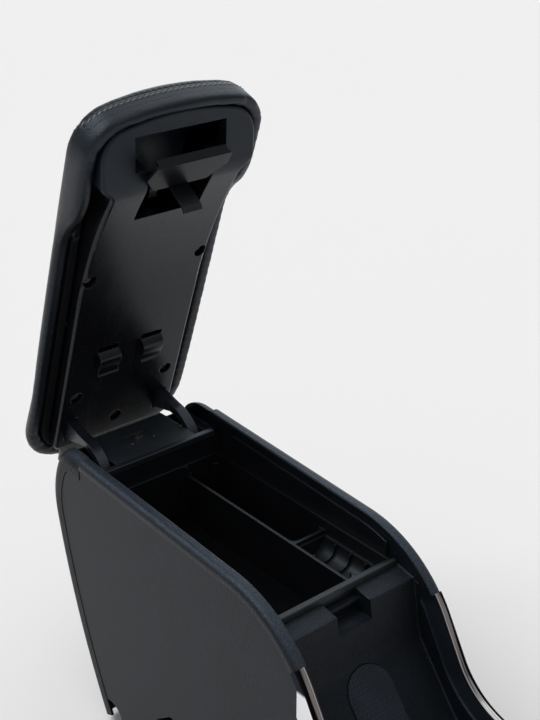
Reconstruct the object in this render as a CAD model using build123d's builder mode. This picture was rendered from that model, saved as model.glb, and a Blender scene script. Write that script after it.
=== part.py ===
"""Centre armrest console of a car: a storage box with a padded lid on gooseneck hinge arms.

Millimetres, +Z up, -Y to the front of the car, X across.
The origin is on the floor, in the middle of the four floor bolts, on the plane of symmetry.
The lid is stored open. Its pieces are drawn in their closed shape on planes that turn with the lid.
"""
import os
from math import atan, cos, radians, sin

from build123d import *

os.makedirs("parts", exist_ok=True)

# Hinge axis, and how far the lid turns between closed and open
HINGE_Y = 200.0
HINGE_Z = 240.0
OPEN_ANGLE = 70.0

# Console across, and the gaps between its pieces
CONSOLE_W = 160.0
RIM_W = 12.0
RIM_ROUND = 6.0
RIM_SOFT = 2.0
WALL = 2.5
FIT = 0.4
SEAT_GAP = 0.5

# Rim and rail, seen from the side
DECK_LENGTH = 38.0
RIM_RISE = 43.5
RIM_FALL = 2.5
RIM_DEPTH = 9.0
RIM_BEND_R = 115.0
RIM_BEND_BEHIND = 40.0
TRIM_START = 50.0
RAIL_DROP = 60.0
RAIL_RUN = 40.0
RAIL_BEND_R = 70.0
RAIL_FALL = 10.0
RAIL_TAIL = 27.0
RAIL_DEPTH = 20.0
RAIL_LAP = 3.0
CHROME_T = 2.0
CHROME_SIDE = 22.0
CHROME_ROUND = 2.6

# Storage box
BIN_SETBACK = 52.0
BIN_LENGTH = 238.0
BIN_DEPTH = 57.0
LINER_BELOW_RIM = 8.0
LINER_STEP_L = 24.0
LINER_STEP_H = 12.0
LINER_CUT_L = 11.5
TRAY_RIM = 8.0
TRAY_WALL = 3.0
TRAY_CORNER_R = 6.0
DIVIDER_X = 26.0
DIVIDER_BELOW = 10.0
CROSS_AT = 156.0
COIN_R = 15.0
COIN_BELOW = 4.0
COIN_RIB = 2.0
COIN_RIB_H = 3.5
COIN_PITCH = 19.0
MAT_T = 2.0
MAT_GAP = 1.0
CROSS_BAR_W = 14.0
CROSS_BAR_T = 3.0
CROSS_BAR_INSET = 30.0

# Front ledge, latch catch, front wall and front well
LEDGE_DEPTH = 22.0
LEDGE_T = 3.0
LEDGE_RISE = 4.0
STRIP_W = 4.0
STRIP_H = 6.0
CATCH_W = 36.0
CATCH_DEPTH = 9.0
CATCH_DROP = 3.0
CATCH_T = 3.0
POCKET_DEPTH = 16.0
FRONT_RAKE = 10.0
FRONT_RUN = 45.0
COVE_R = 25.0
WELL_DROP = 52.0
WELL_RUN = 62.0
WELL_BEND_R = 60.0
RUBBER_W = 46.0
RUBBER_L = 96.0
RUBBER_T = 2.2
RUBBER_SINK = 1.2
RUBBER_GAP = 0.6
RUBBER_UP = 6.0

# Rear cover
BACK_BEYOND = 16.0
TOP_R = 30.0
TOP_TURN = 60.0
BACK_R = 90.0
BACK_TURN = 100.0
FLANK_R = 815.0
FLANK_TURN = 115.0
BACK_ROUND = 12.0
RETURN_W = 19.0
DECK_RISE = 28.5

# Side panels
PANEL_T = 2.6
PANEL_AHEAD = 22.0
PANEL_NOTCH_R = 17.0
TONGUE_T = 2.0
TONGUE_H = 22.0
TONGUE_TOP = 5.0
ACCESS_L = 38.0
ACCESS_H = 16.0
ACCESS_TILT = 142.0
ACCESS_Y = 42.0
ACCESS_Z = 62.0

# Hinge
PIN_R = 4.0
PIN_OVER = 2.0
RUN = 0.05
ARM_X = 50.5
ARM_W = 10.0
ARM_R = 45.0
ARM_T = 7.5
ARM_HUB_R = 9.0
ARM_WEB_W = 9.0
ARM_LAP = 1.0
FOOT_Y = 21.0
FOOT_L = 21.0
FOOT_W = 24.0
FOOT_T = 3.0
SLOT_GAP = 1.0
EAR_T = 3.0
EAR_R = 10.0
FLANGE_W = 20.0
FLANGE_L = 34.0
BRACKET_T = 3.0
SHELF_DROP = 33.0
SHELF_L = 60.0
BUSH_T = 1.2
BUSH_R = 8.0
BUSH_GAP = 0.1
COVER_T = 2.5
COVER_SEAM = 24.0
COVER_SEAM_W = 0.8
COVER_SEAM_D = 0.6
COVER_SCREW = 16.0
COVER_DISH_W = 24.0
COVER_DISH_L = 16.0
COVER_DISH_D = 0.8
POST_R = 5.0
COVER_BEHIND = 9.0
BAR_W = 6.5
BAR_H = 6.0
BAR_LIP = 1.0
BAR_SHORT = 6.0

# Padded lid, its core and its inner panel
LID_OVER = 9.0
LID_BEHIND = 19.0
LID_CROWN = 12.0
LID_TAIL = 9.0
LID_CORNER_R = 38.0
LID_TAIL_R = 48.0
PAD_RISE = 45.0
PAD_T = 15.5
PAD_DOME = 7.0
PAD_DIP = 20.0
PAD_DIP_L = 68.0
PAD_DIP_BEHIND = 55.0
PAD_FRONT = 9.0
PAD_TOP_R = 13.0
PAD_LOW_R = 3.5
PAD_SKIRT = 14.0
CORE_H = 13.0
CORE_T = 3.0
CORE_RIM = 8.0
CORE_POST_R = 4.2
CORE_LIP = 1.3
CORE_GAP = 0.4
CORE_BEHIND = 6.0
INNER_RISE = 34.0
INNER_SIDE = 3.0
INNER_AHEAD = 6.0
INNER_CORNER_R = 8.0
BOSS_BEHIND = 124.0
BOSS_STEP_R = 470.0
BOSS_STEP = 16.5
BOSS_STEP_RUN = 2.0
BOSS_NOSE_R = 25.0
BOSS_SLOPE = 16.3
BOSS_L = 56.0
BOSS_OUT = 11.0
BOSS_CORNER_R = 26.0
BOSS_FLARE_BEHIND = 5.5
BOSS_FLARE = 10.0
BOSS_FLARE_R = 8.0
BOSS_SOFT = 3.0

# Screws
SCREW_R = 2.0
SCREW_L = 13.0
SCREW_HEAD_R = 4.2
SCREW_HEAD_H = 2.4
SCREW_GAP = 0.1
CUP_R = 6.3
CUP_WALL = 1.5
CUP_DEPTH = 6.0
CUP_FLOOR = 2.0
SIDE_SCREW_IN = 7.0
SIDE_SCREW_Y = 213.0
REAR_SCREW_X = 49.8
REAR_SCREW_Y = 71.0
MID_SCREW_Y = 28.5

# Spring clips moulded on the inner panel
CLIP_X = 23.5
CLIP_W = 22.0
CLIP_Y = 97.0
CLIP_L = 24.0
CLIP_T = 1.8
CLIP_PROUD = 6.0
CLIP_WAIST = 4.2
CLIP_SLOT = 6.0

# Latch
RECESS_W = 90.0
RECESS_L = 28.0
RECESS_IN = 13.5
THROAT_W = 66.0
THROAT_L = 53.0
RECESS_RISE = 55.5
RECESS_WALL = 2.0
PIVOT_AHEAD = 17.0
PIVOT_RISE = 26.0
LATCH_PIN_R = 2.0
KNUCKLE_R = 4.2
KNUCKLE_L = 18.0
KNUCKLE_X = 18.0
PADDLE_W = 80.0
PADDLE_ROOT_W = 54.0
PADDLE_TIP_W = 74.0
PADDLE_T = 2.5
PADDLE_L = 34.0
PADDLE_TILT = 22.0
PADDLE_RISE = 13.0
PADDLE_AHEAD = 14.0
PADDLE_TAPER_L = 18.0
LIP_H = 6.0
HOOK_T = 2.6
HOOK_DROP = 19.0
HOOK_LEAN = 6.0
HOOK_NOSE = 3.0
HOOK_CLEAR = 2.0
SPRING_T = 1.2
SPRING_W = 8.0
SPRING_GAP = 0.6
SPRING_RISE = 44.0
SPRING_L = 20.0

# Floor fixing
BOLT_X = 100.0
BOLT_INSET = 38.0
BOLT_R = 4.5
FLOOR_T = 2.5
FLOOR_W = 34.0
FLOOR_LEG = 42.0

# Places that several pieces share
HALF_W = CONSOLE_W / 2
RIM_IN = HALF_W - RIM_W
WELL_OUT = RIM_IN + WALL
RIM_TOP = HINGE_Z + RIM_RISE
SEAM_Y = HINGE_Y - DECK_LENGTH
BIN_REAR = HINGE_Y - BIN_SETBACK
BIN_FRONT = BIN_REAR - BIN_LENGTH
BOLT_Y = BIN_LENGTH - BOLT_INSET
RIM_RUN = (SEAM_Y - BIN_FRONT - RIM_BEND_BEHIND) / cos(radians(RIM_FALL))
LINER_X = RIM_IN - SEAT_GAP
LINER_IN = LINER_X - WALL
TRAY_X = LINER_IN - SEAT_GAP
TRAY_IN = TRAY_X - TRAY_WALL
LINER_Z = HINGE_Z - BIN_DEPTH
TRAY_Z = LINER_Z + WALL
TRAY_FLOOR = TRAY_Z + TRAY_WALL
TRAY_TOP = HINGE_Z + TRAY_RIM
DIVIDER_TOP = TRAY_TOP - DIVIDER_BELOW
TRAY_FRONT = BIN_FRONT + SEAT_GAP + TRAY_WALL
TRAY_REAR = BIN_REAR - SEAT_GAP - TRAY_WALL
LONG_W = TRAY_IN + DIVIDER_X - TRAY_WALL / 2
SHORT_W = TRAY_IN - DIVIDER_X - TRAY_WALL / 2
SHORT_FRONT = BIN_REAR - CROSS_AT + TRAY_WALL / 2
COIN_L = SHORT_FRONT - TRAY_WALL - TRAY_FRONT
COIN_X = TRAY_IN - SHORT_W / 2
COIN_TOP = DIVIDER_TOP - COIN_BELOW
FRAME_LOW = LINER_Z - CROSS_BAR_T
LEDGE_Z = HINGE_Z + LEDGE_RISE
LEDGE_REAR = BIN_FRONT - WALL - SEAT_GAP
LEDGE_FRONT = BIN_FRONT - LEDGE_DEPTH
CATCH_EDGE = BIN_FRONT - CATCH_DEPTH
CATCH_Z = HINGE_Z - CATCH_DROP
POCKET_Z = HINGE_Z - POCKET_DEPTH
DECK_TOP = HINGE_Z + DECK_RISE
SHELF_TOP = HINGE_Z - SHELF_DROP
ARM_IN = ARM_X - ARM_W / 2
ARM_OUT = ARM_X + ARM_W / 2
SLOT_IN = ARM_IN - SLOT_GAP
SLOT_OUT = ARM_OUT + SLOT_GAP
EAR_OUT = ARM_IN - BUSH_T - BUSH_GAP
EAR_IN = EAR_OUT - EAR_T
SHELF_X = EAR_OUT
BRACKET_X = EAR_OUT - FLANGE_W / 2 - EAR_T / 2
BRACKET_MID = HINGE_Y + EAR_R - FLANGE_L / 2
BRACKET_SPOTS = [
    (BRACKET_X, BRACKET_MID - FLANGE_L / 4, SHELF_TOP),
    (BRACKET_X, BRACKET_MID + FLANGE_L / 4, SHELF_TOP),
    (-BRACKET_X, BRACKET_MID - FLANGE_L / 4, SHELF_TOP),
    (-BRACKET_X, BRACKET_MID + FLANGE_L / 4, SHELF_TOP),
]
PANEL_OUT = HALF_W - FIT
PANEL_IN = PANEL_OUT - PANEL_T
PANEL_FRONT = LEDGE_FRONT - PANEL_AHEAD
BAR_FRONT = BIN_REAR - BAR_LIP
BAR_REAR = BAR_FRONT + BAR_W
LINER_REAR_TOP = DECK_TOP - COVER_T
LINER_FRONT = BIN_FRONT - WALL
LINER_REAR = BIN_REAR + WALL
COVER_TOP = DECK_TOP + COVER_T

# Planes that turn with the lid: its plan, its side view and its end view about the hinge axis
LID_TURN = radians(OPEN_ANGLE)
LID = Plane(origin=(0, HINGE_Y, HINGE_Z), x_dir=(1, 0, 0), z_dir=(0, sin(LID_TURN), cos(LID_TURN)))
LID_SIDE = Plane(origin=(0, HINGE_Y, HINGE_Z), x_dir=LID.y_dir, z_dir=(1, 0, 0))
LID_END = Plane(origin=(0, HINGE_Y, HINGE_Z), x_dir=(1, 0, 0), z_dir=-LID.y_dir)
INNER_X = RIM_IN - INNER_SIDE
BOSS_X = INNER_X + BOSS_OUT
PAD_X = HALF_W + LID_OVER
PAD_LOW = PAD_RISE - PAD_DIP
PAD_TOP = PAD_RISE + PAD_T + PAD_DOME
DOME_R = (PAD_X**2 + PAD_DOME**2) / PAD_DOME / 2
DIP_TURN = 2 * atan(PAD_DIP / PAD_DIP_L)
DIP_R = PAD_DIP_L / sin(DIP_TURN) / 2
DIP_OUT = DIP_R * sin(DIP_TURN / 2)
DIP_SAG = DIP_R * (1 - cos(DIP_TURN / 2))
CORE_X = PAD_X - PAD_SKIRT
CORE_IN = CORE_X - CORE_RIM
CORE_UNDER = PAD_RISE + CORE_H - CORE_T
LATCH_Y = CATCH_EDGE - HINGE_Y
DIP_REAR = LATCH_Y + PAD_DIP_BEHIND
DIP_FRONT = DIP_REAR - PAD_DIP_L
STEP_Y = LATCH_Y + BOSS_BEHIND
STEP_ANGLE = radians(BOSS_STEP)
NOSE_Y = STEP_Y - (BOSS_STEP_R + BOSS_NOSE_R) * sin(STEP_ANGLE) - BOSS_STEP_RUN * cos(STEP_ANGLE)
INNER_FRONT = NOSE_Y - BOSS_L
INNER_REAR = -INNER_AHEAD
BOSS_REAR = NOSE_Y + BOSS_FLARE_BEHIND
RECESS_FRONT = INNER_FRONT + RECESS_IN
RECESS_REAR = RECESS_FRONT + RECESS_L
THROAT_REAR = RECESS_REAR + THROAT_L
PIVOT_Y = LATCH_Y - PIVOT_AHEAD
PAD_NOSE = INNER_FRONT - PAD_FRONT
BOX_FRONT = RECESS_FRONT - RECESS_WALL - CORE_GAP
BOX_HALF = RECESS_W / 2 + RECESS_WALL + CORE_GAP
CORE_NOSE = BOX_FRONT - LID_CROWN * (BOX_HALF / CORE_X) ** 2 - CORE_LIP
FOOT_MID = -FOOT_Y - FOOT_L / 2
FOOT_SPOTS = [(ARM_IN - FOOT_W / 2, FOOT_MID), (FOOT_W / 2 - ARM_IN, FOOT_MID)]
CLIP_SLOT_Y = -CLIP_Y - CLIP_L - CLIP_SLOT / 2
PADDLE_Y = LATCH_Y - PADDLE_AHEAD
PADDLE = Plane(LID.location * Location((0, PADDLE_Y, PADDLE_RISE), (PADDLE_TILT, 0, 0)))
HOOK_TIP = LATCH_Y - HOOK_CLEAR
SCREW_SEAT = INNER_RISE + CUP_DEPTH
CUP_TOP = SCREW_SEAT + CUP_FLOOR
SIDE_SCREW_X = INNER_X - SIDE_SCREW_IN
SCREW_SPOTS = [
    (SIDE_SCREW_X, -SIDE_SCREW_Y),
    (-SIDE_SCREW_X, -SIDE_SCREW_Y),
    (REAR_SCREW_X, -REAR_SCREW_Y),
    (-REAR_SCREW_X, -REAR_SCREW_Y),
    (0, -MID_SCREW_Y),
]
CENTRED_UP = (Align.CENTER, Align.CENTER, Align.MIN)
CENTRED_DOWN = (Align.CENTER, Align.CENTER, Align.MAX)


def rim_at(depth, slope):
    """The point on the rim's bend, sunk by depth, where its slope is the given angle."""
    lean = radians(RIM_FALL)
    turned = radians(slope)
    y = SEAM_Y + depth * sin(lean) - RIM_RUN * cos(lean) - (RIM_BEND_R - depth) * (sin(turned) - sin(lean))
    z = RIM_TOP - depth * cos(lean) - RIM_RUN * sin(lean) - (RIM_BEND_R - depth) * (cos(lean) - cos(turned))
    return (y, z)


def rim_edge(depth):
    """Draws the rim's top edge, sunk by depth, from the rear seam to the chrome."""
    lean = radians(RIM_FALL)
    start = (SEAM_Y + depth * sin(lean), RIM_TOP - depth * cos(lean))
    run = PolarLine(start, RIM_RUN, angle=180 + RIM_FALL)
    bend = JernArc(run @ 1, run % 1, RIM_BEND_R - depth, TRIM_START - RIM_FALL)
    return run @ 0, bend @ 1


def rail_edge(depth):
    """Draws the rail's top edge, sunk by depth, from the chrome's start to the front end."""
    middle = (TRIM_START + RAIL_DROP) / 2
    bend = ThreePointArc(rim_at(depth, TRIM_START), rim_at(depth, middle), rim_at(depth, RAIL_DROP))
    run = PolarLine(bend @ 1, RAIL_RUN, direction=bend % 1)
    curl = JernArc(run @ 1, run % 1, RAIL_BEND_R + depth, RAIL_FALL - RAIL_DROP)
    tail = PolarLine(curl @ 1, RAIL_TAIL, direction=curl % 1)
    return bend @ 0, tail @ 1


def front_edge(depth):
    """Draws the front wall and the well floor, set back by depth, from the ledge to the front end."""
    lean = radians(FRONT_RAKE)
    top = (LEDGE_FRONT + depth * cos(lean), HINGE_Z - depth * sin(lean))
    wall = PolarLine(top, FRONT_RUN, angle=270 - FRONT_RAKE)
    cove = JernArc(wall @ 1, wall % 1, COVE_R + depth, WELL_DROP + FRONT_RAKE - 90)
    run = PolarLine(cove @ 1, WELL_RUN, direction=cove % 1)
    curl = JernArc(run @ 1, run % 1, WELL_BEND_R + depth, RAIL_FALL - WELL_DROP)
    tail = PolarLine(curl @ 1, RAIL_TAIL, direction=curl % 1)
    return wall @ 0, tail @ 1


def back_edge(depth):
    """Draws the rear cover's outline, sunk by depth, from the seam over the top and down the back."""
    lean = radians(RIM_FALL)
    turn = radians(TOP_TURN)
    bulge = TOP_R * (sin(lean) + sin(turn)) + BACK_R * (1 - sin(turn))
    start = (SEAM_Y + depth * sin(lean), RIM_TOP - depth * cos(lean))
    run = PolarLine(start, (DECK_LENGTH + BACK_BEYOND - bulge) / cos(lean), angle=RIM_FALL)
    top = JernArc(run @ 1, run % 1, TOP_R - depth, -TOP_TURN - RIM_FALL)
    back = JernArc(top @ 1, top % 1, BACK_R - depth, TOP_TURN - BACK_TURN)
    flank = JernArc(back @ 1, back % 1, FLANK_R - depth, BACK_TURN - FLANK_TURN)
    return run @ 0, flank @ 1


def lid_edge(half, front, rear):
    """Draws the lid's plan: straight sides, a bowed front and a bowed rear."""
    Line((half, front + LID_CROWN), (half, rear - LID_TAIL))
    ThreePointArc((half, rear - LID_TAIL), (0, rear), (-half, rear - LID_TAIL))
    Line((-half, rear - LID_TAIL), (-half, front + LID_CROWN))
    ThreePointArc((-half, front + LID_CROWN), (0, front), (half, front + LID_CROWN))


def lid_corners(inset):
    """Rounds the corners of the lid's plan, for an outline moved in by inset."""
    fillet(vertices().group_by(Axis.Y)[-1], radius=LID_TAIL_R - inset)
    fillet(vertices().group_by(Axis.Y)[0], radius=LID_CORNER_R - inset)


def inner_edge(inset):
    """Draws the inner panel's plan, moved in by inset: the long panel and the wider latch boss."""
    half = INNER_X - inset
    wide = BOSS_X - inset
    front = INNER_FRONT + LID_CROWN + inset
    rear = INNER_REAR - inset
    Polyline((wide, front), (wide, BOSS_REAR - BOSS_FLARE), (half, BOSS_REAR), (half, rear),
             (-half, rear), (-half, BOSS_REAR), (-wide, BOSS_REAR - BOSS_FLARE), (-wide, front))
    ThreePointArc((wide, front), (0, INNER_FRONT + inset), (-wide, front))


def boss_edge(inset, top):
    """Draws the inner panel's side view, its underside moved in by inset, up to the height top."""
    flat = Line((INNER_REAR + LID_BEHIND, INNER_RISE + inset), (STEP_Y, INNER_RISE + inset))
    step = JernArc(flat @ 1, flat % 1, BOSS_STEP_R + inset, BOSS_STEP)
    fall = PolarLine(step @ 1, BOSS_STEP_RUN, direction=step % 1)
    nose = JernArc(fall @ 1, fall % 1, BOSS_NOSE_R - inset, -BOSS_STEP - BOSS_SLOPE)
    face = PolarLine(nose @ 1, BOSS_L, direction=nose % 1)
    Polyline(face @ 1, (INNER_FRONT - LID_BEHIND, top), (INNER_REAR + LID_BEHIND, top), flat @ 0)


def dip_edge():
    """Draws the padding's lower edge where it drops round the boss, and the space below the higher part."""
    middle = ((DIP_FRONT + DIP_REAR) / 2, (PAD_LOW + PAD_RISE) / 2)
    ThreePointArc((DIP_FRONT, PAD_LOW), (DIP_FRONT + DIP_OUT, PAD_LOW + DIP_SAG), middle)
    ThreePointArc(middle, (DIP_REAR - DIP_OUT, PAD_RISE - DIP_SAG), (DIP_REAR, PAD_RISE))
    Polyline((DIP_REAR, PAD_RISE), (2 * LID_BEHIND, PAD_RISE), (2 * LID_BEHIND, 0),
             (DIP_FRONT, 0), (DIP_FRONT, PAD_LOW))


def lower_outline(solid):
    """The edges round the faces that look down from the lid, without the edges between them."""
    under = solid.faces().filter_by(lambda face: face.normal_at().dot(LID.z_dir) < -0.5)
    every = [edge for face in under for edge in face.edges()]
    return [edge for edge in every if sum(edge.is_same(other) for other in every) == 1]


def latch_opening(spread):
    """Draws the finger recess and the throat behind it, widened by spread."""
    with Locations((0, RECESS_FRONT - spread)):
        Rectangle(RECESS_W + 2 * spread, RECESS_L + 2 * spread, align=(Align.CENTER, Align.MIN))
        Rectangle(THROAT_W + 2 * spread, RECESS_L + THROAT_L + 2 * spread, align=(Align.CENTER, Align.MIN))


def stadium_on_well(spread):
    """Draws the rubber mat's outline on the slope of the well floor, widened by spread."""
    SlotOverall(RUBBER_L + 2 * spread, RUBBER_W + 2 * spread, rotation=90)


def pan_screw(head_r, head_h, shank_r, shank_l):
    """Adds a pan-head screw at each current place, its head below and its shank above."""
    Cylinder(shank_r, shank_l, align=CENTRED_UP)
    Cylinder(head_r, head_h, align=CENTRED_DOWN)
    with Locations((0, 0, -head_h)):
        Box(head_r * 1.2, head_r * 0.3, head_h, mode=Mode.SUBTRACT)
        Box(head_r * 0.3, head_r * 1.2, head_h, mode=Mode.SUBTRACT)


# Lines that pieces are swept along or seated on
with BuildLine(Plane.YZ) as rim_path:
    rim_edge(0)
with BuildLine(Plane.YZ) as rail_path:
    rail_edge(0)
with BuildLine(Plane.YZ) as back_path:
    back_edge(0)
with BuildLine(Plane.YZ) as well_path:
    front_edge(0)
RIM_SECTION = Plane(origin=rim_path.line @ 0, x_dir=(1, 0, 0), z_dir=rim_path.line % 0)
RAIL_SECTION = Plane(origin=rail_path.line @ 0, x_dir=(1, 0, 0), z_dir=rail_path.line % 0)
BACK_SECTION = Plane(origin=back_path.line @ 0, x_dir=(1, 0, 0), z_dir=back_path.line % 0)
SLOPE = well_path.edges()[2]
SLOPE_FACE = Plane(origin=SLOPE @ 0, x_dir=(1, 0, 0), z_dir=(SLOPE % 0).cross(Vector(1, 0, 0)))
MAT_PLANE = Plane(origin=SLOPE_FACE.from_local_coords((0, RUBBER_UP - RUBBER_L / 2, 0)), x_dir=(1, 0, 0),
                  z_dir=SLOPE_FACE.z_dir)

# Hollow in the well floor that the rubber mat lies in
with BuildPart() as rubber_bed:
    with BuildSketch(Plane.YZ):
        with BuildLine():
            near = front_edge(-RUBBER_T)
            far = front_edge(RUBBER_SINK)
            Line(near[0], far[0])
            Line(near[1], far[1])
        make_face()
    extrude(amount=RUBBER_W, both=True)
    with BuildSketch(MAT_PLANE):
        stadium_on_well(RUBBER_GAP)
    extrude(amount=RUBBER_L, both=True, mode=Mode.INTERSECT)

# Upper frame: rims, walls of the well, front ledge with the latch catch, front wall and well floor
with BuildPart() as console_frame:
    with BuildSketch(RIM_SECTION):
        with BuildLine():
            Polyline((RIM_IN, -RIM_DEPTH), (RIM_IN, 0), (HALF_W, 0), (HALF_W, -RIM_DEPTH),
                     (HALF_W - WALL, -RIM_DEPTH),
                     (HALF_W - WALL, -WALL), (WELL_OUT, -WALL), (WELL_OUT, -RIM_DEPTH), close=True)
        make_face()
        top_corners = vertices().group_by(Axis.Y)[-1].sort_by(Axis.X)
        fillet(top_corners[0], radius=RIM_SOFT)
        fillet(vertices().group_by(Axis.Y)[-1].sort_by(Axis.X)[-1], radius=RIM_ROUND)
        inner_corner = vertices().filter_by_position(Axis.X, HALF_W - WALL - FIT, HALF_W - WALL + FIT)
        fillet(inner_corner.sort_by(Axis.Y)[-1], radius=RIM_ROUND - WALL)
    sweep(path=rim_path.wires()[0])
    with BuildSketch(Plane.YZ.offset(RIM_IN)):
        with BuildLine():
            top = rim_edge(WALL)
            Polyline(top[1], (LEDGE_FRONT, HINGE_Z), (LEDGE_FRONT, FRAME_LOW), (SEAM_Y, FRAME_LOW), top[0])
        make_face()
    extrude(amount=WALL)
    with BuildSketch(Plane.YZ.offset(RIM_IN)):
        with BuildLine():
            rail = rail_edge(RAIL_DEPTH - RAIL_LAP)
            floor = front_edge(LEDGE_T)
            Line(rail[1], floor[1])
            Polyline(floor[0], rim_at(WALL, TRIM_START), rail[0])
        make_face()
    extrude(amount=WALL)
    mirror(about=Plane.YZ)
    with BuildSketch(Plane.YZ):
        with BuildLine():
            Polyline((LEDGE_REAR, LEDGE_Z), (LEDGE_FRONT, HINGE_Z), (LEDGE_FRONT, HINGE_Z - LEDGE_T),
                     (LEDGE_REAR, LEDGE_Z - LEDGE_T), close=True)
        make_face()
    extrude(amount=WELL_OUT, both=True)
    with BuildSketch(Plane.YZ):
        with BuildLine():
            face = front_edge(0)
            back = front_edge(LEDGE_T)
            Line(face[0], back[0])
            Line(face[1], back[1])
        make_face()
    extrude(amount=WELL_OUT, both=True)
    add(rubber_bed.part, mode=Mode.SUBTRACT)
    with Locations((0, LEDGE_REAR, POCKET_Z - LEDGE_T)):
        Box(CATCH_W + 2 * WALL, LEDGE_REAR - LEDGE_FRONT, LEDGE_Z - POCKET_Z,
            align=(Align.CENTER, Align.MAX, Align.MIN))
    with Locations((0, LEDGE_REAR - WALL, POCKET_Z)):
        Box(CATCH_W, LEDGE_DEPTH * 2, LEDGE_DEPTH * 2, align=(Align.CENTER, Align.MAX, Align.MIN),
            mode=Mode.SUBTRACT)
    with Locations((0, LEDGE_REAR, CATCH_Z)):
        Box(CATCH_W, LEDGE_DEPTH, LEDGE_DEPTH, align=(Align.CENTER, Align.CENTER, Align.MIN),
            mode=Mode.SUBTRACT)
        Box(CATCH_W, LEDGE_REAR - CATCH_EDGE, CATCH_T, align=(Align.CENTER, Align.MAX, Align.MAX))
    with Locations((0, BIN_REAR - CROSS_BAR_INSET, FRAME_LOW), (0, BIN_FRONT + CROSS_BAR_INSET, FRAME_LOW)):
        Box(2 * WELL_OUT, CROSS_BAR_W, CROSS_BAR_T, align=CENTRED_UP)
console_frame.part.label = "console_frame"
export_step(console_frame.part, "parts/console_frame.step")

# Rubber mat on the slope of the front well
with BuildPart() as front_mat:
    with BuildSketch(Plane.YZ):
        with BuildLine():
            near = front_edge(RUBBER_SINK - RUBBER_T)
            far = front_edge(RUBBER_SINK)
            Line(near[0], far[0])
            Line(near[1], far[1])
        make_face()
    extrude(amount=RUBBER_W, both=True)
    with BuildSketch(MAT_PLANE):
        stadium_on_well(0)
    extrude(amount=RUBBER_L, both=True, mode=Mode.INTERSECT)
front_mat.part.label = "front_mat"
export_step(front_mat.part, "parts/front_mat.step")

# Plain strip that covers the joint between the box and the front ledge
with BuildPart() as front_strip:
    with Locations((0, BIN_FRONT, LEDGE_Z)):
        Box(2 * TRAY_X, STRIP_W, STRIP_H, align=(Align.CENTER, Align.MAX, Align.MIN))
    fillet(front_strip.faces().sort_by(Axis.Z)[-1].edges().filter_by(Axis.X), radius=0.8)
front_strip.part.label = "front_strip"
export_step(front_strip.part, "parts/front_strip.step")

# Rails in front of the rims, and the chrome strips over them
with BuildPart() as right_rail:
    with BuildSketch(RAIL_SECTION):
        with BuildLine():
            Polyline((WELL_OUT, -RAIL_DEPTH - CHROME_T), (WELL_OUT, -CHROME_T),
                     (HALF_W - CHROME_T, -CHROME_T),
                     (HALF_W - CHROME_T, -CHROME_T - WALL), (WELL_OUT + WALL, -CHROME_T - WALL),
                     (WELL_OUT + WALL, -RAIL_DEPTH - CHROME_T), close=True)
        make_face()
    sweep(path=rail_path.wires()[0])
right_rail.part.label = "right_rail"
export_step(right_rail.part, "parts/right_rail.step")

with BuildPart() as left_rail:
    mirror(right_rail.part, about=Plane.YZ)
left_rail.part.label = "left_rail"
export_step(left_rail.part, "parts/left_rail.step")

with BuildPart() as right_chrome:
    with BuildSketch(RAIL_SECTION):
        with BuildLine():
            Polyline((WELL_OUT, -CHROME_T), (WELL_OUT, 0), (HALF_W, 0), (HALF_W, -CHROME_SIDE),
                     (HALF_W - CHROME_T, -CHROME_SIDE), (HALF_W - CHROME_T, -CHROME_T), close=True)
        make_face()
        fillet(vertices().group_by(Axis.Y)[-1].sort_by(Axis.X)[-1], radius=CHROME_ROUND)
    sweep(path=rail_path.wires()[0])
    with BuildSketch(Plane.YZ.offset(PANEL_IN - FIT)):
        with BuildLine():
            under = rail_edge(RIM_DEPTH)
            Polyline(under[1], (under[1].X, 0), (BIN_FRONT, 0), (BIN_FRONT, under[0].Y), under[0])
        make_face()
        with Locations((PANEL_FRONT - FIT, 0)):
            Rectangle(BIN_LENGTH, RIM_TOP, align=(Align.MIN, Align.MIN), mode=Mode.INTERSECT)
    extrude(amount=HALF_W, mode=Mode.SUBTRACT)
right_chrome.part.label = "right_chrome"
export_step(right_chrome.part, "parts/right_chrome.step")

with BuildPart() as left_chrome:
    mirror(right_chrome.part, about=Plane.YZ)
left_chrome.part.label = "left_chrome"
export_step(left_chrome.part, "parts/left_chrome.step")

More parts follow.
